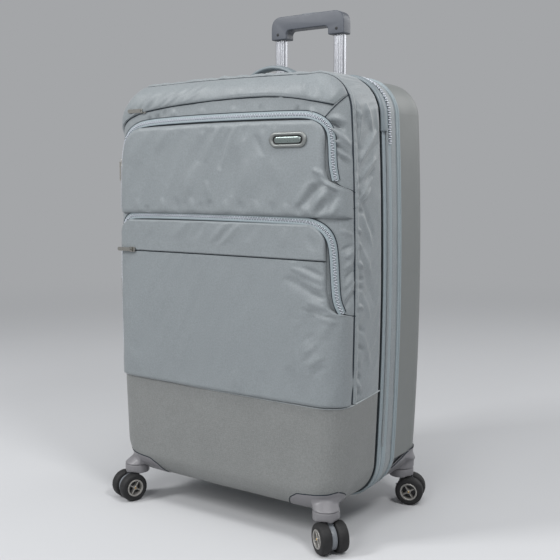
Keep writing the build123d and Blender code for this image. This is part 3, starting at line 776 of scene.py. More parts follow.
LOWER_CREASES = [
    ((160, 466), (216, 446), 1.7, 5, -2), ((182, 468), (218, 456), -1.8, 5),
    ((146, 448), (215, 420), -2.4, 9, -3), ((176, 446), (216, 434), 1.5, 5),
    ((196, 428), (221, 419), -1.5, 4.5), ((190, 414), (224, 403), 1.6, 5), ((180, 400), (226, 388), -1.5, 6),
    ((202, 394), (236, 380), 1.5, 5), ((200, 398), (202, 330), -1.7, 12, 3),
    ((231, 384), (206, 344), 1.6, 8), ((222, 350), (196, 290), 1.2, 11, 3),
    ((214, 320), (206, 262), -0.9, 12), ((186, 328), (213, 350), 1.3, 4.5),
    ((182, 312), (212, 336), -1.3, 4.5), ((192, 306), (220, 326), 1.3, 4.5),
    ((198, 292), (224, 310), -1.0, 4.5), ((178, 342), (202, 362), -0.9, 5),
    ((172, 372), (178, 318), -0.9, 8, 3), ((170, 380), (176, 290), 1.2, 20),
    ((120, 420), (150, 330), -0.9, 26), ((150, 300), (180, 252), -1.0, 14),
    ((-206, 380), (-190, 300), 1.0, 16), ((-214, 300), (-180, 256), 1.0, 12),
    ((40, 280), (56, 250), 0.9, 12), ((-60, 286), (-70, 250), -0.8, 14), ((100, 290), (108, 252), -0.9, 12),
    ((-100, 420), (-60, 300), 0.6, 34),
]
SLIT_CREASES = [
    ((27, 534), (-8, 502), 1.7, 7), ((54, 532), (16, 500), 1.8, 7), ((-52, 540), (-92, 508), 1.4, 9),
    ((40, 530), (6, 500), -1.2, 6), ((-20, 536), (-50, 505), -1.0, 7), ((90, 534), (66, 506), -0.9, 7),
    ((150, 528), (140, 500), 0.9, 9), ((-130, 540), (-160, 508), 0.9, 9), ((190, 520), (206, 496), -1.2, 8),
]
EDGE_STEPS = spaced(0.0, 1.0, 0.0022, 0.0058, 0.05)


def cloth_panel(name, z0, z1, left, right, rows, height, shoulder_width, hides=(), flat_top=False, seed=11):
    """Padded cloth between two heights and two edges; flat_top keeps its full height at the top."""
    z = spaced(z0, z1, 0.0009, 0.0026, 0.02)[:, None] + 0 * EDGE_STEPS[None]
    low, high = left(z[:, :1]), right(z[:, :1])
    u = low + (high - low) * EDGE_STEPS[None]
    inside = rim_distance(u, z)
    padded = inside
    if flat_top:
        padded = np.maximum(np.minimum(np.minimum(z - z0, u - low), high - u), inside)
    base = shoulder(padded, height, shoulder_width, 0.0008)
    base = np.minimum(base, 0.0006 + 0.36 * np.maximum(SEAM_U - abs(u), 0))
    soft = np.clip(inside / 0.004, 0, 1) * np.clip((SEAM_U - abs(u)) / 0.02 + 0.25, 0, 1)
    lift = base + soft * creases(u, z, rows)
    lift += soft * (0.0006 * noise2(u, z, 0.06, seed) + 0.0005 * folds(u, z, 63, 0.06, seed + 1))
    obj = add_mesh(name, drape(u, z, lift), grid_faces(*u.shape), PANEL_SHADED, "front_half", "fabric", hides)


# seam lines in mm, as seen from the front
UPPER_RIGHT_EDGE = [(222, 708), (218, 682), (216, 650), (217, 622), (222, 607), (231, 600), (246, 590),
                    (250, 585), (250, 549)]
LEFT_EDGE = [(-217, 704), (-218, 660), (-222, 620), (-225, 560), (-223, 500), (-226, 440), (-227, 240)]
LOWER_RIGHT_EDGE = [(213, 540), (219, 510), (220, 470), (221, 430), (226, 404), (236, 395), (250, 388),
                    (251, 240)]

left_edge = row_edge(LEFT_EDGE)
upper_right, lower_right = row_edge(UPPER_RIGHT_EDGE), row_edge(LOWER_RIGHT_EDGE)
cloth_panel("upper_pocket_cloth", 0.548, 0.7035, rounded(left_edge, 0.7035, 0.050, -1),
            rounded(upper_right, 0.7035, 0.03, 1), UPPER_CREASES, 0.0085, 0.009, ["upper_pocket"])
cloth_panel("lower_pocket_cloth", 0.2405, 0.4787, left_edge, lower_right, LOWER_CREASES, 0.0085, 0.007,
            ["lower_pocket"], flat_top=True, seed=21)
cloth_panel("lower_pocket_yoke", 0.4793, 0.5375, rounded(left_edge, 0.5375, 0.030, -1),
            rounded(lower_right, 0.5375, 0.026, 1), SLIT_CREASES, 0.0092, 0.003, seed=31)

# top flap over the covered zip, and the corner gusset beside it
FLAP_LOW = [(-214, 712), (-196, 722), (-157, 731), (-80, 738), (50, 743), (140, 741), (226.5, 724)]
CORNER_SEAM = [(213, 702), (249.5, 747)]
SEAM_LOW = 0.2425  # height at which the perimeter seam meets the bucket


def seam_path(start, end, count, inset=0.0):
    """Perimeter seam between two outline places, on the skin laid flat: far back on the roll at
    the sides, further forward over the top."""
    s = np.linspace(start, end, count)
    x, z, nx, nz = (np.interp(s, RING[4], RING[k]) for k in range(4))
    length = np.hypot(nx, nz)
    t = np.where(z > MID_Z, np.clip((0.238 - abs(x)) / 0.058, 0, 1), 0)
    run = 0.0645 - 0.0190 * eased(t) - inset
    back = FRONT_EDGE - run
    return np.stack([x - nx / length * back, z - nz / length * back], -1)


FLAP_CREASES = [
    ((-14, 770), (-68, 742), 2.0, 4), ((-22, 774), (-80, 744), -1.6, 5), ((-30, 774), (-92, 742), 1.4, 4),
    ((-56, 768), (-110, 736), -1.6, 5), ((-70, 764), (-124, 734), 2.2, 5),
    ((-84, 764), (-136, 732), -1.4, 4), ((-100, 762), (-150, 730), 1.8, 5),
    ((-122, 762), (-166, 730), -1.8, 5), ((-140, 762), (-178, 730), 2.0, 5),
    ((-158, 756), (-190, 726), -1.8, 5), ((-172, 750), (-202, 722), 1.8, 5),
    ((-190, 744), (-212, 720), -1.6, 5), ((184, 772), (190, 740), 2.4, 5), ((203, 764), (205, 736), -2.2, 5),
    ((214, 760), (218, 734), 2.0, 4), ((194, 768), (197, 738), -1.4, 4), ((60, 778), (50, 746), 1.0, 8),
    ((120, 776), (116, 746), 1.2, 8), ((150, 776), (150, 746), -1.2, 6), ((20, 776), (-6, 748), -0.8, 9),
    ((90, 778), (80, 748), -0.8, 7),
]


flap_low = smooth_path(unrolled(FLAP_LOW), 0.0024)


def flap_panel():
    """Top flap: from the covered zip up to the perimeter seam, ending at the corner seam."""
    low, samples = flap_low, 6000
    n = len(low)
    whole = seam_path(0, RING[4][-1], samples)
    nearest = np.linalg.norm(whole - unrolled([CORNER_SEAM[1]]), axis=1).argmin()
    s_right = nearest / (samples - 1) * RING[4][-1]
    s_left = BOTTOM_RUN * 3 + CORNER_RUN * 3.4 + 2 * (HALF_H - CORNER)
    high = seam_path(s_left, s_right, n, 0.0026)
    t = spaced(0.0, 1.0, 0.014, 0.045, 0.2)[:, None]
    u = low[None, :, 0] * (1 - t) + high[None, :, 0] * t
    z = low[None, :, 1] * (1 - t) + high[None, :, 1] * t
    to_low = np.hypot(u - low[None, :, 0], z - low[None, :, 1])
    to_high = np.hypot(u - high[None, :, 0], z - high[None, :, 1])
    d = np.clip(np.minimum(to_low / 0.006, to_high / 0.012), 0, 1)
    ends = np.clip(np.minimum(np.arange(n), np.arange(n)[::-1]) / 4, 0, 1)[None]
    lift = 0.0006 + 0.0032 * np.sqrt(1 - (1 - d) ** 2) * ends
    lift += 0.45 * creases(u, z, FLAP_CREASES) * d
    lift += (0.0006 * noise2(u, z, 0.03, 44) + 0.0003 * noise2(u, z, 0.012, 45)) * d
    add_mesh("zip_flap_top", drape(u, z, lift), grid_faces(*u.shape), PANEL_SHADED, "front_half", "fabric")


flap_panel()

# zip tapes with their teeth, and dark seam lines: the thread, and painted shade of the gaps beside the seams
UPPER_ZIP = [(-232, 556), (-230, 600), (-226, 640), (-218, 664), (-213, 677), (-204, 690), (-190, 701),
             (-163, 709), (-60, 711.5), (60, 711.5), (150, 710.5), (190, 709), (213, 700), (224, 684),
             (226, 660), (227, 630), (231, 606)]
LOWER_ZIP = [(-233, 262), (-233, 340), (-232, 420), (-229, 490), (-224, 517), (-216, 531), (-204, 540.5),
             (-184, 544.5), (-60, 545), (60, 544), (150, 542.5), (190, 541), (214, 533), (226, 517),
             (230, 495), (232, 450), (234, 415), (240, 396)]


def zip_run(name, control, width, inner_lift, outer_lift):
    """Zip along a path: its tape, a dark strip under its teeth that is painted shade, and the teeth. Sizes in mm.
    """
    path = smooth_path(unrolled(control), 0.0024)
    half, middle = width / 2, (inner_lift + outer_lift) / 2
    strip(name + "_tape", path, [
        (half + 0.4, inner_lift - 2.5), (half, inner_lift),
        (half * 0.5, inner_lift * 0.75 + outer_lift * 0.25 + 0.2), (1.9, middle + 0.3), (0, middle),
        (-1.9, middle + 0.1), (-half * 0.6, outer_lift + 0.3), (-half, outer_lift),
        (-half - 0.5, outer_lift - 2)], TRIM)
    teeth_shade = [(1.8, middle + 0.2), (1.4, middle + 0.5), (-1.4, middle + 0.4), (-1.8, middle)]
    strip(name + "_teeth_shade", path, teeth_shade, GROOVE_SHADE)
    teeth(name + "_teeth", path, "front_half", 0.0027, (4.0, 1.5, 1.2), middle + 1.1)
    return path


# dark strip along a seam: the thread, and painted shade of the gap beside it
def seam_shade_line(name, path, width, lift, depth=0.9):
    w, foot = width / 2, lift - depth
    strip(name, path, [(w, foot), (w * 0.8, lift), (0, lift + 0.15), (-w * 0.8, lift), (-w, foot)], SEAM_AND_SHADE)


upper_zip = zip_run("zip_upper", UPPER_ZIP, 12.5, 5.2, 1.4)
lower_zip = zip_run("zip_lower", LOWER_ZIP, 13.5, 5.2, 1.6)


def offset_path(path, distance):
    return path + sideways(path) * distance / 1000


# dark lines at the zip tapes' edges, the flap, the corner and the pocket ends: painted shade of the seams' gaps
seam_shade_line("seam_shade_zip_upper_in", offset_path(upper_zip, 6.4), 1.3, 5.2, depth=4)
seam_shade_line("seam_shade_zip_upper_out", offset_path(upper_zip, -6.6), 1.2, 1.7)
seam_shade_line("seam_shade_zip_lower_in", offset_path(lower_zip, 6.9), 1.3, 5.2, depth=4)
seam_shade_line("seam_shade_zip_lower_out", offset_path(lower_zip, -7.1), 1.5, 2.2)
seam_shade_line("seam_shade_flap", offset_path(flap_low, 0.8), 2.4, 0.9)
strip("flap_lip", flap_low, [(0.4, 0.8), (0.2, 2.6), (-1.2, 3.6), (-3, 3.6)], PANEL_SHADED, "fabric")
seam_shade_line("seam_shade_corner", even(unrolled(CORNER_SEAM), 0.0024), 1.5, 1.2)
seam_shade_line("seam_shade_short", smooth_path(unrolled([(226, 562), (240, 562), (251, 562)])), 1.0, 1.2)
SLIT_Z = 0.479
slit_x = np.linspace(-0.198, 0.219, 170)
# the slit above the lower pocket is a dark strip: painted shade inside the opening
strip("slit_shade", np.stack([slit_x, np.full(len(slit_x), SLIT_Z)], -1),
      [(0.8, 5.0), (0.4, 7.6), (0, 7.2), (-0.4, 7.6), (-0.8, 5.0)], SEAM_AND_SHADE)
upper_end, lower_end = [(231, 603), (238, 596), (246, 591), (251, 586)], [(240, 397), (245, 392), (251, 389)]
seam_shade_line("seam_shade_pocket_end_upper", smooth_path(unrolled(upper_end)), 1.2, 1.4)
seam_shade_line("seam_shade_pocket_end_lower", smooth_path(unrolled(lower_end)), 1.2, 1.4)

# the perimeter seam, drawn as a dark strip of thread and painted shade in its fold, and the gathered binding
# behind it
SEAM_POINTS = 760
seam = seam_path(side_run(SEAM_LOW), side_run(SEAM_LOW, left=True), SEAM_POINTS)
gather_fine, gather_wide = noise1(SEAM_POINTS, 230, 5, False), noise1(SEAM_POINTS, 84, 8, False)


def gathers(k):
    """Uneven lift of the binding's k-th line, strongest in its middle."""
    return (0.0011 * gather_fine + 0.0012 * gather_wide) * (0, 0.4, 1.0, 0.9, 0.6, 0)[k]


strip("perimeter_seam_shade", seam, [(-1.7, -0.8), (-1.4, 0.7), (0, 1.0), (1.4, 0.7), (1.7, -0.8)], SEAM_AND_SHADE)
strip("gathered_binding", seam, [(1.3, -0.4), (2.0, 2.0), (4.4, 3.1), (7.6, 2.8), (10.4, 1.7), (14, 0.2)],
      FABRIC, "fabric", ripple=gathers)


# ---- bucket: the tougher skin round the bottom

def bucket_skin():
    """Twill skin below a gently curved stitched edge."""
    half_u = HALF_W - FRONT_EDGE + SKIN_REACH
    us = np.linspace(-half_u, half_u, int(2 * half_u / 0.004))
    top = np.interp(us, [-half_u, -0.28, -0.25, 0.0, 0.25, 0.30, half_u],
                    [0.2475, 0.2465, 0.2435, 0.2400, 0.2385, 0.2425, 0.2480])
    low = MID_Z - (HALF_H - FRONT_EDGE + SKIN_REACH)
    t = np.concatenate([[0, 0.002, 0.005, 0.009], np.linspace(0.015, 1, 90)])[:, None]
    u = np.repeat(us[None], len(t), 0)
    cu, cz, clipped = clip_skin(u, top[None] * (1 - t) + low * t)
    d = top[None] - cz
    lift = 0.0002 + 0.0016 * np.clip(d / 0.0012, 0, 1)
    lift += 0.0005 * noise2(cu, cz, 0.07, 61) * np.clip(d / 0.02, 0, 1)
    lift -= 0.0062 * (1 - np.clip((SKIN_REACH - past_flat(cu, cz)) / 0.017, 0, 1)) ** 2
    faces = grid_faces(*u.shape)
    gone = clipped.ravel()[faces].all(1)
    add_mesh("bucket_skin", drape(cu, cz, lift), faces[~gone], BUCKET, "front_half", "bucket", ["bucket"],
             weld=2e-5)
    edge = even(np.stack([us, top], -1)[abs(us) < half_u - 0.001], 0.003)
    strip("bucket_edge", edge, [(-0.9, 0.4), (-0.7, 1.7), (0.1, 2.3), (0.9, 2.1), (1.2, 1.2)], STITCH,
          "bucket")


bucket_skin()


# ---------------------------------------------------------------- lid frame, zips, band

FLAP_SPAN = (side_run(0.690), side_run(0.690, left=True))
TEETH_SPAN = (side_run(0.672), side_run(0.672, left=True))
HINGE_SPAN = (side_run(0.14), side_run(0.70))


def round_profile(y, lift, half_y, half_lift, n=12):
    """Oval (y, lift) profile."""
    turns = [2 * pi * k / n for k in range(n)]
    return [(y + half_y * cos(a), lift + half_lift * sin(a)) for a in turns]


def flap_taper(s):
    """The thick flap sinks a little at its two ends."""
    return -0.0012 * (1 - np.clip(np.minimum(s - FLAP_SPAN[0], FLAP_SPAN[1] - s) / 0.012, 0, 1) ** 0.5)


def coil_place(s, y, lift):
    """Point on the case outline: distance along it, depth and lift."""
    x, z, nx, nz = (np.interp(s, RING[4], RING[k]) for k in range(4))
    bx, bz = bow(x + nx * lift, z + nz * lift)
    return np.stack([bx, y, bz], -1)


ring_piece("lid_tape", [(0.4, -2.4), (0.9, -0.9), (8.6, -0.7), (9.3, -2.2), (9.2, -9.5)], TRIM, "lid_frame",
           hides=["lid_ring"], flip=True)
# the lid frame's wall is dark: painted shade at the bottom of the groove
ring_piece("lid_wall", [(0.2, -9.5), (0.3, -2.0), (1.0, -1.8)], GROOVE_SHADE, "lid_frame", flip=True)
ring_piece("zip_cord", round_profile(-3.6, -0.6, 1.5, 1.6), TRIM, "lid_frame", closed=True)
ring_piece("zip_flap", round_profile(0.4, 0.4, 8.8, 4.4, 20), WELT, "lid_frame", swell=flap_taper,
           closed=True, span=FLAP_SPAN)
ring_piece("main_zip_tape", [(10.2, -3), (10.3, 0.1), (11.4, 0.6), (21.4, 1.0), (22.6, 1.1), (22.8, -1)],
           TRIM, "back_half", flip=True)
# dark strip under the main zip's teeth: painted shade
ring_piece("main_zip_teeth_shade", [(15.6, 0.6), (16.0, 1.4), (21.0, 1.5), (21.4, 0.8)], GROOVE_SHADE, "back_half",
           span=TEETH_SPAN, flip=True)
run = np.arange(*TEETH_SPAN, 0.002)
teeth("main_zip_teeth", np.stack([run, np.full(len(run), 0.0185)], -1), "back_half", 0.0040,
      (6.4, 2.5, 2.2), 2.9, coil_place)

band_ripple = 0.00025 * noise1(len(RING[4]), 90, 6)
ring_piece("band_cloth", [(22.4, -3), (22.4, 0.6), (23.0, 1.3), (24.4, 1.5), (28, 1.6), (33, 1.5), (39, 1.2),
                          (42.2, 0.8), (43.4, -0.4), (43.6, -3)],
           FABRIC, "back_half", "fabric", ["side_band"], swell=lambda s: band_ripple, flip=True)
for k, y in enumerate((25.2, 40.6)):
    ring_piece(f"band_stitch_{k + 1}", round_profile(y, 1.45, 0.35, 0.3, 6), STITCH, "back_half",
               closed=True)
for where, y, hides in (("front", 45.8, ["back_rim"]), ("back", 52.0, [])):
    ring_piece("rim_piping_" + where, round_profile(y, 1.1, 2.4, 2.6, 14), TRIM, "back_half", hides=hides,
               closed=True)
# dark strip between the two pipings: painted shade of the gap between them
ring_piece("rim_seam_shade", [(43, -1.8), (49, -0.2), (54.8, -1.8)], SEAM_AND_SHADE, "back_half", flip=True)
ring_piece("rim_inner", [(10.4, -2.6), (10.2, -4.6), (12, -6.4), (20, -7), (44, -7), (54, -6.8)], LINING,
           "back_half", "lining")
lining_shell("back_lining", BACK_Y - 0.0045, 0.020, 0.05, "back_half", False)

# folded gusset of the expansion zip, coloured dark as painted shade in its groove, and the cloth hinge
fold = [(-9.5, -4.4), (-8.8, -3.9), (-7.8, -4.6), (-7.0, -9.4), (-5.4, -11.5), (-3.4, -12.0),
        (-1.6, -11.4), (-0.2, -8.8), (0.5, -4.6), (1.2, -4.6)]
gusset = ring_piece("expansion_cloth", fold, GROOVE_SHADE, None, "fabric", ["expansion_gusset"], flip=True)
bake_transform(gusset)
hinge = ring_piece("hinge_cloth", [(7.2, 0.2), (7.8, 1.6), (8.6, 2.6), (9.6, 3.0), (10.6, 2.7), (11.5, 1.8),
                                   (12.2, 0.6)], FABRIC, None, "fabric", span=HINGE_SPAN, flip=True)
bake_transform(hinge)


# ---------------------------------------------------------------- badge

badge_low, badge_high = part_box("badge")
BADGE_X, BADGE_Z = (badge_low.x + badge_high.x) / 2, (badge_low.z + badge_high.z) / 2


def pill(half_w, half_h, y):
    """Outline with round ends at the badge's place; sizes in mm, y from the badge's back."""
    half_w, half_h = half_w / 1000, half_h / 1000
    out = []
    for side in (1, -1):
        for k in range(21):
            a = radians(-90 * side + 9 * k)
            out.append((BADGE_X + side * (half_w - half_h) + half_h * cos(a), badge_high.y + y / 1000,
                        BADGE_Z + half_h * sin(a)))
    return out


def badge():
    """Raised oval frame with a rounded lip, a sunk centre and a plain inlay."""
    lip = [(36.0, 0.6), (36.0, -0.9), (35.2, -2.1), (33.6, -2.8), (31.2, -2.9), (29.6, -2.4), (28.9, -1.1),
           (28.6, -0.2)]
    rows = [pill(half_w, 12.4 - (36.0 - half_w) * 0.78, y) for half_w, y in lip]
    cols = len(rows[0])
    add_mesh("badge_frame", rows, grid_faces(len(rows), cols, False, True), BADGE, "front_half",
             "badge_metal", ["badge"])
    add_mesh("badge_recess", pill(28.7, 6.8, -0.2), [range(cols)], DARK, "front_half", "badge_metal",
             smooth=False)
    inlay = [(25.6, 5.2, -0.1), (25.6, 5.2, -1.5), (24.9, 4.6, -2.2), (23.4, 3.6, -2.5), (12.0, 1.6, -2.6),
             (4.0, 0.3, -2.6)]
    rows = [pill(*row) for row in inlay]
    faces = grid_faces(len(rows), cols, False, True).tolist() + end_caps(len(rows), cols)[1:]
    add_mesh("badge_inlay", rows, faces, BADGE_PLATE, "front_half", "badge_metal")


badge()


# ---------------------------------------------------------------- caster housings

PATCH_OUT, PATCH_IN = 0.0032, -0.0022
NECK_STEPS = 72


def solid_patch(bm, u, z, back, keep):
    """Closed solid a few millimetres thick over the kept cells of a skin grid."""
    rows, cols = u.shape
    a, b = ([bm.verts.new(p) for p in drape(u, z, lift, back).reshape(-1, 3)]
            for lift in (PATCH_OUT, PATCH_IN))
    cells = keep[:-1, :-1]
    sides = (((-1, 0), (0, 1)), ((0, 1), (1, 2)), ((1, 0), (2, 3)), ((0, -1), (3, 0)))
    for i in range(rows - 1):
        for j in range(cols - 1):
            if not cells[i, j]:
                continue
            q = [i * cols + j, i * cols + j + 1, (i + 1) * cols + j + 1, (i + 1) * cols + j]
            bm.faces.new([a[k] for k in q])
            bm.faces.new([b[k] for k in reversed(q)])
            for (di, dj), (m, n) in sides:
                ni, nj = i + di, j + dj
                if not (0 <= ni < rows - 1 and 0 <= nj < cols - 1 and cells[ni, nj]):
                    bm.faces.new([a[q[n]], a[q[m]], b[q[m]], b[q[n]]])
    bmesh.ops.delete(bm, geom=[v for v in bm.verts if not v.link_faces], context="VERTS")


def top_edge_height(x, y, front):
    """Height of a housing's wavy top edge at places on the case."""
    if front:
        along = np.interp(x, [0.12, 0.139, 0.150, 0.166, 0.200, 0.221, 0.236, 0.25],
                          [0.052, 0.062, 0.079, 0.0885, 0.092, 0.0945, 0.0995, 0.104])
        return along + np.interp(y, [-0.142, -0.120, -0.101, -0.07, -0.045], [0, 0, -0.008, -0.024, -0.045])
    along = np.interp(x, [0.13, 0.150, 0.175, 0.20, 0.25], [0.058, 0.082, 0.096, 0.101, 0.105])
    return along + np.interp(y, [0.027, 0.042, 0.07, 0.101, 0.121, 0.176],
                             [-0.040, -0.022, -0.012, 0.0, 0.006, 0.006])


def flared_neck(bm, swivel, neck_z, skin, normal, top_edge):
    """Trumpet from the caster's neck up to the case, held close to the skin near the top edge."""
    flare = [(0.019, 0), (0.0229, 0), (0.0232, 0.0012), (0.0233, 0.005), (0.0234, 0.009), (0.0238, 0.012),
             (0.0246, 0.015), (0.0262, 0.018), (0.0285, 0.0203), (0.031, 0.0222), (0.034, 0.024),
             (0.037, 0.0256), (0.040, 0.0272), (0.043, 0.0288), (0.046, 0.0304), (0.049, 0.032),
             (0.052, 0.0338), (0.056, 0.037)]
    below_edge = [-0.003, 0.0, 0.003, 0.007, 0.012, 0.017, 0.022, 0.024]
    may_stand_out = [-0.006, -0.005, 0.0, 0.003, 0.0052, 0.0085, 0.013, 0.06]
    rows = []
    for r, up in flare:
        ring = []
        for k in range(NECK_STEPS):
            a = 2 * pi * k / NECK_STEPS
            q = np.array([swivel[0] + r * cos(a), swivel[1] + r * sin(a), neck_z + up])
            for _ in range(4):
                i = ((skin - q) ** 2).sum(1).argmin()
                out = float((q - skin[i]) @ normal[i])
                allowed = float(np.interp(top_edge[i] - q[2], below_edge, may_stand_out))
                if out > allowed:
                    q = q - normal[i] * (out - allowed)
            ring.append(bm.verts.new(q))
        rows.append(ring)
    for low, high in zip(rows, rows[1:]):
        for k in range(NECK_STEPS):
            bm.faces.new([low[k], low[k - NECK_STEPS + 1], high[k - NECK_STEPS + 1], high[k]])
    bm.faces.new(rows[0][::-1])
    bm.faces.new(rows[-1])


def housing_piece(caster, side, front, body, hides):
    """Moulded corner: a skin with a wavy top edge that flares into the caster's neck."""
    edge = FRONT_EDGE if front else BACK_EDGE
    roll, step = edge * pi / 2, 0.0022
    u, z = np.meshgrid(side * np.arange(0.118, HALF_W - edge + roll + 0.165, step),
                       np.arange(MID_Z - (HALF_H - edge + roll + 0.16), 0.125, step))
    p = drape(u, z, 0.0, not front)
    x, y, h = abs(p[..., 0]), p[..., 1], p[..., 2]
    top_edge = top_edge_height(x, y, front)
    above = h - top_edge
    keep = (above < 0) & ((y < -0.045) & (x > 0.132) if front else (y > 0.058) & (x > 0.140))
    line = []
    for j in range(u.shape[1]):
        up = np.flatnonzero((above[:-1, j] < 0) & (above[1:, j] >= 0))
        if len(up) and keep[up[-1], j]:
            t = -above[up[-1], j] / (above[up[-1] + 1, j] - above[up[-1], j])
            line.append((u[0, j], z[up[-1], j] + t * step))
    line = smooth_path(np.array(sorted(line)), 0.002, rounds=2)
    # dark strip along the wavy top edge: painted shadow under the housing's raised edge
    strip("shadow_line_housing_" + caster, line, [(-0.1, 1.0), (-0.3, 2.9), (-1.5, 2.8), (-1.8, 1.0)], SEAM_AND_SHADE,
          "housing", body, back=not front)
    bm = bmesh.new()
    solid_patch(bm, u, z, not front, keep)
    normal = np.cross(np.gradient(p, axis=1), np.gradient(p, axis=0))
    normal *= np.sign((normal[..., 1] * (-1 if front else 1)).sum())
    normal /= np.maximum(np.linalg.norm(normal, axis=-1, keepdims=True), 1e-12)
    flared_neck(bm, SWIVELS[caster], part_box("fork_" + caster)[1].z + 0.0004, p.reshape(-1, 3)[::2],
                normal.reshape(-1, 3)[::2], top_edge.reshape(-1)[::2])
    bmesh.ops.recalc_face_normals(bm, faces=bm.faces)
    obj = object_from(bm, "housing_" + caster, HOUSING)
    m = obj.modifiers.new("fuse", "REMESH")
    m.mode, m.voxel_size, m.use_smooth_shade = "VOXEL", 0.0013, True
    m = obj.modifiers.new("soften", "SMOOTH")
    m.factor, m.iterations = 0.6, 10
    attach(apply_modifiers(obj), body, "housing", hides)


SWIVELS = {joint["name"][7:]: Vector(joint["pos_m"]) for joint in frame["joints"]
           if joint["name"].startswith("swivel_")}
CASTER_NAMES = ("front_right", "front_left", "back_right", "back_left")
for caster in CASTER_NAMES:
    right, front = caster.endswith("right"), caster.startswith("front")
    cad = "front_housings" if front else "rear_housings"
    housing_piece(caster, 1 if right else -1, front, "front_half" if front else "back_half",
                  [cad] if right else [])


# ---------------------------------------------------------------- casters

def turned(profile, side, centre, direction, steps=72):
    """Turned shape about the axle: profile is (radius, distance outwards), in mm."""
    cx, cy, cz = centre
    ax, ay = -sin(direction), cos(direction)
    rx, ry = cos(direction), sin(direction)
    a = np.arange(steps) / steps * 2 * pi
    rows = []
    for r, t in profile:
        r, t = r / 1000, t / 1000 * side
        rows.append(np.stack([cx + ax * t + rx * r * np.cos(a), cy + ay * t + ry * r * np.cos(a),
                              cz + r * np.sin(a)], -1))
    return np.stack(rows), grid_faces(len(profile), steps, False, True, side < 0)


PIN = [(0.05, 24.9), (1.3, 24.9), (1.9, 24.5), (2.1, 23.8), (2.1, 20.0)]
# radius in mm and share of the skirt's height
CAP = [(0.2, 1.0), (17.0, 1.0), (22.0, 1.0), (22.6, 0.95), (22.9, 0.84), (22.9, 0.3), (22.6, 0.08),
       (22.2, 0.0), (21.4, 0.0), (20.6, 0.1), (20.0, 0.6), (0.2, 0.62)]
WHEEL_PARTS = [  # piece, material, slot, the node it stands in for, profile
    ("tread", TYRE, "tyre", "tyre", [
        (16.0, 6.2), (16.8, 5.6), (21.0, 5.6), (24.0, 6.4), (25.4, 8.2), (26.0, 11.0), (26.0, 15.0),
        (26.0, 19.0), (25.4, 21.8), (24.0, 23.6), (21.6, 24.4), (18.6, 24.5), (16.8, 24.2), (16.0, 23.6)]),
    ("rim", HUB, "hub", "hub", [
        (16.2, 22.6), (16.2, 24.4), (15.6, 25.0), (14.0, 25.0), (13.2, 24.4), (12.9, 22.6), (12.8, 14.0)]),
    ("disc", HUB_DARK, "hub", None, [(13.2, 15.5), (8.0, 16.0), (2.6, 16.2)]),
    ("backing", HUB_DARK, "hub", None, [(16.2, 7.0), (8.0, 6.6), (2.6, 6.4)]),
    ("boss", HUB, "hub", None, [(2.2, 24.0), (2.9, 24.4), (3.6, 24.1), (4.0, 23.2), (4.2, 15.8)]),
]
SPOKE_FACES = ((0, 2, 8, 6), (2, 4, 10, 8), (4, 5, 11, 10), (5, 3, 9, 11), (3, 1, 7, 9))


def caster_cap(name, swivel, centre, direction):
    """Round cap whose skirt arches over each tyre and dips between them."""
    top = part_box("fork_" + name)[1].z
    steps = 96
    a = np.arange(steps) / steps * 2 * pi
    trail = (Vector(centre[:2]) - Vector(swivel[:2])).length
    over_tyre = 0.0276 ** 2 - (0.0227 * np.cos(a) - trail) ** 2
    arch = np.clip(centre.z + np.sqrt(np.maximum(over_tyre, 0)), 0.0516, 0.0556)
    arch -= (arch - 0.0512) * np.exp(-(np.sin(a) / 0.2) ** 4)
    rows = []
    for r, t in CAP:
        z = arch + (top - arch) * t
        z = np.where(r < 17.0, z.max() if t > 0.9 else 0.0575, z)
        rows.append(np.stack([swivel.x + r / 1000 * np.cos(a + direction),
                              swivel.y + r / 1000 * np.sin(a + direction), z], -1))
    add_mesh("cap_" + name, rows, grid_faces(len(rows), steps, False, True, True), HOUSING, "caster_" + name,
             "caster_plastic", ["fork_" + name])


def mudguard(name, swivel, centre, direction):
    """Plate between the wheels: round behind, with a shoulder up into the cap."""
    radius, along, neck_z, half_thick = 0.0205, 0.018, 0.0572, 0.0046
    turns = [radians(deg) for deg in range(-62, 243, 8)]
    plate = [(radius * cos(a) + along, radius * sin(a) + centre.z) for a in turns]
    plate += [(-0.0105, centre.z + 0.006), (-0.0125, neck_z), (0.0190, neck_z), (0.0230, 0.0500)]
    plate.sort(key=lambda q: np.arctan2(q[1] - centre.z - 0.006, q[0] - 0.012))
    obj = prism("plate_" + name, [(x, -half_thick, z) for x, z in plate], (0, 2 * half_thick, 0), CASTER,
                0.0012, 2)
    obj.data.transform(Matrix.Translation((swivel.x, swivel.y, 0)) @ Matrix.Rotation(direction, 4, "Z"))
    attach(obj, "caster_" + name, "caster_plastic")


def spokes(name, side, centre, direction, body):
    """Four bevelled spokes of one wheel."""
    points, faces = [], []
    for k in range(4):
        b = radians(32) + k * pi / 2
        faces += [[len(points) + i for i in f] for f in SPOKE_FACES]
        for r, w in ((3.4, 1.15), (13.4, 0.95)):
            for t, taper in ((16.0, 1.35), (22.8, 1.0), (23.5, 0.55)):
                for edge in (-1, 1):
                    along = (r * cos(b) - edge * w * taper * sin(b)) / 1000
                    up = (r * sin(b) + edge * w * taper * cos(b)) / 1000
                    out = t * side / 1000
                    points.append((centre.x - sin(direction) * out + cos(direction) * along,
                                   centre.y + cos(direction) * out + sin(direction) * along, centre.z + up))
    add_mesh("spokes_" + name, points, faces, HUB, body, "hub", smooth=False)


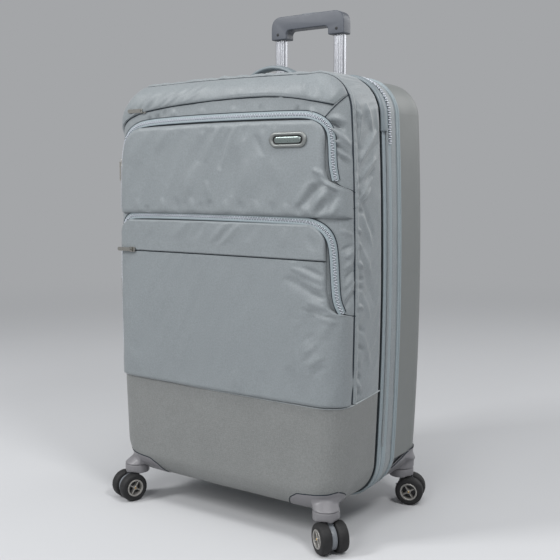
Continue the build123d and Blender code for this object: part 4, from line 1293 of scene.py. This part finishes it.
def caster_pieces(name):
    swivel = SWIVELS[name]
    axle_low, axle_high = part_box("axle_" + name)
    centre = (axle_low + axle_high) / 2
    direction = float(np.arctan2(centre.y - swivel.y, centre.x - swivel.x))
    caster_cap(name, swivel, centre, direction)
    mudguard(name, swivel, centre, direction)
    ends = [turned(PIN, side, centre, direction, 24) for side in (-1, 1)]
    points = np.concatenate([end[0].reshape(-1, 3) for end in ends])
    faces = np.concatenate([ends[0][1], ends[1][1] + len(points) // 2])
    add_mesh("pin_" + name, points, faces, BRASS, "caster_" + name, "axle_brass", ["axle_" + name])
    for letter, side in (("a", -1), ("b", 1)):
        wheel = f"{name}_{letter}"
        for part, finish, slot, node_name, profile in WHEEL_PARTS:
            points, faces = turned(profile, side, centre, direction)
            add_mesh(f"{part}_{wheel}", points, faces, finish, "wheel_" + wheel, slot,
                     [f"{node_name}_{wheel}"] if node_name else [])
        spokes(wheel, side, centre, direction, "wheel_" + wheel)


for caster in CASTER_NAMES:
    caster_pieces(caster)


# ---------------------------------------------------------------- trolley

tube_low, tube_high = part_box("inner_tubes")
grip_low, grip_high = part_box("grip")
TUBE_Y = (tube_low.y + tube_high.y) / 2
TUBE_HALF_W, TUBE_HALF_D, TUBE_ROUND = 0.011, (tube_high.y - tube_low.y) / 2, 0.004
TUBE_X = tube_high.x - TUBE_HALF_W
FLUTES = ((-5.6, 1.5), (5.6, 1.5), (0.0, 2.0))  # middle and half width in mm


def fluted_tubes():
    """Inner trolley tubes: rounded rectangles with shallow flutes down the wide faces."""
    loop = []
    for sx, sy, start in ((1, 1, 0), (-1, 1, 90), (-1, -1, 180), (1, -1, 270)):
        for k in range(7):
            a = radians(start + 15 * k)
            loop.append((sx * (TUBE_HALF_W - TUBE_ROUND) + TUBE_ROUND * cos(a),
                         sy * (TUBE_HALF_D - TUBE_ROUND) + TUBE_ROUND * sin(a)))
        if start in (0, 180):
            for x in np.linspace(6.4, -6.4, 49) * sy:
                dip = sum(0.75 * np.exp(-((x - c) / w * 1.6) ** 4) for c, w in FLUTES)
                loop.append((x / 1000, sy * (TUBE_HALF_D - dip / 1000)))
    loop = np.array(loop)
    levels = (tube_low.z, (tube_low.z + tube_high.z) / 2, tube_high.z)
    points = [np.stack([x + loop[:, 0], TUBE_Y + loop[:, 1], 0 * loop[:, 0] + z], -1)
              for x in (-TUBE_X, TUBE_X) for z in levels]
    tube = grid_faces(len(levels), len(loop), False, True)
    faces = np.concatenate([tube, tube + len(levels) * len(loop)])
    obj = add_mesh("fluted_tubes", points, faces, ALUMINIUM, "trolley", "aluminium", ["inner_tubes"])
    obj.data.set_sharp_from_angle(angle=radians(50))


def grip_body():
    half, inner, underside = grip_high.x, 0.048, 0.899
    corners = [(half, grip_low.z), (half, grip_high.z), (-half, grip_high.z), (-half, grip_low.z),
               (-inner, grip_low.z), (-inner, underside), (inner, underside), (inner, grip_low.z)]
    loop = round_loop(corners, grip_low.y, [0.003, 0.023, 0.023, 0.003, 0.003, 0.009, 0.009, 0.003], 10)
    obj = prism("grip_body", loop, (0, grip_high.y - grip_low.y, 0), GRIP, 0.0075, 6)
    attach(obj, "trolley", "grip", ["grip"])


def button_cap():
    low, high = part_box("release_button")
    hx, hy, middle = (high.x - low.x) / 2, (high.y - low.y) / 2, (low.y + high.y) / 2
    flat = round_loop([(hx, -hy), (hx, hy), (-hx, hy), (-hx, -hy)], 0, [0.006] * 4, 8)
    obj = prism("button_cap", [(x, middle + y, low.z) for x, _, y in flat], (0, 0, high.z - low.z), CASTER,
                0.0018, 3)
    attach(obj, "release", "grip", ["release_button"])


def rivet_heads():
    a = np.arange(32) / 32 * 2 * pi
    for k, x in enumerate((-TUBE_X, TUBE_X)):
        rows = [np.stack([r * np.cos(a) + x, 0 * a + grip_low.y - 0.0004 + depth, r * np.sin(a) + 0.892], -1)
                for r, depth in ((0.0005, 0.0), (0.0022, 0.0001), (0.0034, 0.00055), (0.0036, 0.0011))]
        faces = grid_faces(len(rows), len(a), False, True).tolist() + end_caps(len(rows), len(a))
        add_mesh(f"rivet_head_{k + 1}", rows, faces, DARK, "trolley", "steel", [] if k else ["grip_rivets"])


fluted_tubes()
grip_body()
button_cap()
rivet_heads()


# ---------------------------------------------------------------- carry handles

def strap_handle(name, node, centre, radius, half_angle, upright, thick):
    """Padded strap bent round an arc, with a raised middle, rolled edges and two stitch rows.
    upright stands on the top of the case; otherwise the arc lies against its left side."""
    bends, width = 90, 0.0265

    def place(a, r, across):
        along, up = r * sin(a), r * cos(a)
        return Vector(centre) + Vector((along, across, up) if upright else (-up, across, along))

    section = []
    for k in range(28):
        c, s = cos(2 * pi * k / 28), sin(2 * pi * k / 28)
        section.append((width / 2 * np.sign(c) * abs(c) ** 0.75, thick / 2 * np.sign(s) * abs(s) ** 0.8))
    rows = []
    for i in range(bends + 1):
        squeeze = 1 - 0.25 * abs(2 * i / bends - 1) ** 3
        a = -half_angle + 2 * half_angle * i / bends
        rows.append([place(a, radius - thick / 2 + out * squeeze, across) for across, out in section])
    faces = grid_faces(len(rows), len(section), False, True, upright).tolist()
    faces += [cap[::-1] for cap in end_caps(len(rows), len(section))]
    obj = add_mesh(name, rows, faces, WELT, "back_half", "trim", [node])
    points, faces = [], []
    places = bends * 3
    for side in (-1, 1):
        for i in range(6, places - 6, 2):
            base = len(points)
            for shift in (-0.30, 0.42):
                a = -half_angle + 2 * half_angle * (i + shift) / places
                for dw, dr in ((-0.35, 0.0), (0.0, 0.45), (0.35, 0.0)):
                    r = radius - 0.0010 + dr / 1000 - thick * 0.125 * abs(2 * i / places - 1) ** 3
                    points.append(place(a, r, side * (width / 2 - 0.0042) + dw / 1000))
            faces += [[base, base + 1, base + 4, base + 3], [base + 1, base + 2, base + 5, base + 4]]
    add_mesh(name + "_stitches", points, faces, STITCH, "back_half", "trim")


low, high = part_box("top_handle")
TOP_RADIUS = 0.09
strap_handle("top_strap", "top_handle", (0, (low.y + high.y) / 2, high.z - TOP_RADIUS), TOP_RADIUS,
             radians(53), True, 0.0088)
low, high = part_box("side_handle")
SIDE_HALF, SIDE_RISE = 0.095, 0.019
side_radius = (SIDE_HALF**2 + SIDE_RISE**2) / (2 * SIDE_RISE)
strap_handle("side_strap", "side_handle", (low.x + side_radius, (low.y + high.y) / 2, (low.z + high.z) / 2),
             side_radius, radians(23.2), False, 0.0058)


# ---------------------------------------------------------------- floor, light, camera

BACKDROP = (0.93, 0.95, 0.98, 1)
BACKDROP_STRENGTH = 0.40


def fade_floor():
    """Let the floor run into the backdrop colour far away, so no horizon shows."""
    tree = FLOOR.node_tree
    out = next(n for n in tree.nodes if n.type == "OUTPUT_MATERIAL")
    shader = out.inputs[0].links[0].from_node
    where = tree.nodes.new("ShaderNodeTexCoord")
    far = tree.nodes.new("ShaderNodeVectorMath")
    far.operation = "LENGTH"
    ramp = tree.nodes.new("ShaderNodeMapRange")
    ramp.interpolation_type = "SMOOTHERSTEP"
    ramp.inputs["From Min"].default_value, ramp.inputs["From Max"].default_value = 0.9, 4.2
    glow = tree.nodes.new("ShaderNodeEmission")
    glow.inputs["Color"].default_value = BACKDROP
    glow.inputs["Strength"].default_value = BACKDROP_STRENGTH
    mix = tree.nodes.new("ShaderNodeMixShader")
    tree.links.new(where.outputs["Object"], far.inputs[0])
    tree.links.new(far.outputs["Value"], ramp.inputs["Value"])
    tree.links.new(ramp.outputs[0], mix.inputs[0])
    tree.links.new(shader.outputs[0], mix.inputs[1])
    tree.links.new(glow.outputs[0], mix.inputs[2])
    tree.links.new(mix.outputs[0], out.inputs[0])


fade_floor()
bm = bmesh.new()
bmesh.ops.create_grid(bm, x_segments=24, y_segments=24, size=14.0)
object_from(bm, "studio_ground", FLOOR)

world = bpy.data.worlds.new("studio")
bpy.context.scene.world = world
world.use_nodes = True
background = world.node_tree.nodes["Background"]
background.inputs["Color"].default_value = BACKDROP
background.inputs["Strength"].default_value = BACKDROP_STRENGTH


def aim(obj, location, target):
    obj.location = location
    obj.rotation_euler = (Vector(target) - obj.location).to_track_quat("-Z", "Y").to_euler()


def area(name, location, target, size, energy):
    data = bpy.data.lights.new(name, "AREA")
    data.shape, data.size, data.size_y = "RECTANGLE", *size
    data.energy = energy
    aim(new_object(name, data), location, target)


area("key", (-1.5, -2.1, 2.3), (0, 0, 0.5), (0.7, 0.9), 52)
area("front", (0.35, -2.2, 1.5), (0.05, 0, 0.45), (0.7, 0.7), 13)
area("side", (1.3, -0.6, 1.8), (0.2, 0, 0.7), (0.45, 0.45), 16)
area("top", (0.3, -0.5, 3.0), (0, 0, 0.5), (1.0, 1.0), 15)
area("rim_light", (1.2, 2.6, 1.8), (0, 0.1, 0.5), (1.2, 1.6), 20)

data = bpy.data.cameras.new("camera")
data.lens, data.sensor_width, data.clip_end = 56.13, 36.0, 60.0
camera = new_object("camera", data)
aim(camera, (0.94717, -1.30975, 0.60338), (0.02547, 0.010, 0.4231))
bpy.context.scene.camera = camera
bpy.context.scene.view_settings.view_transform = "Standard"
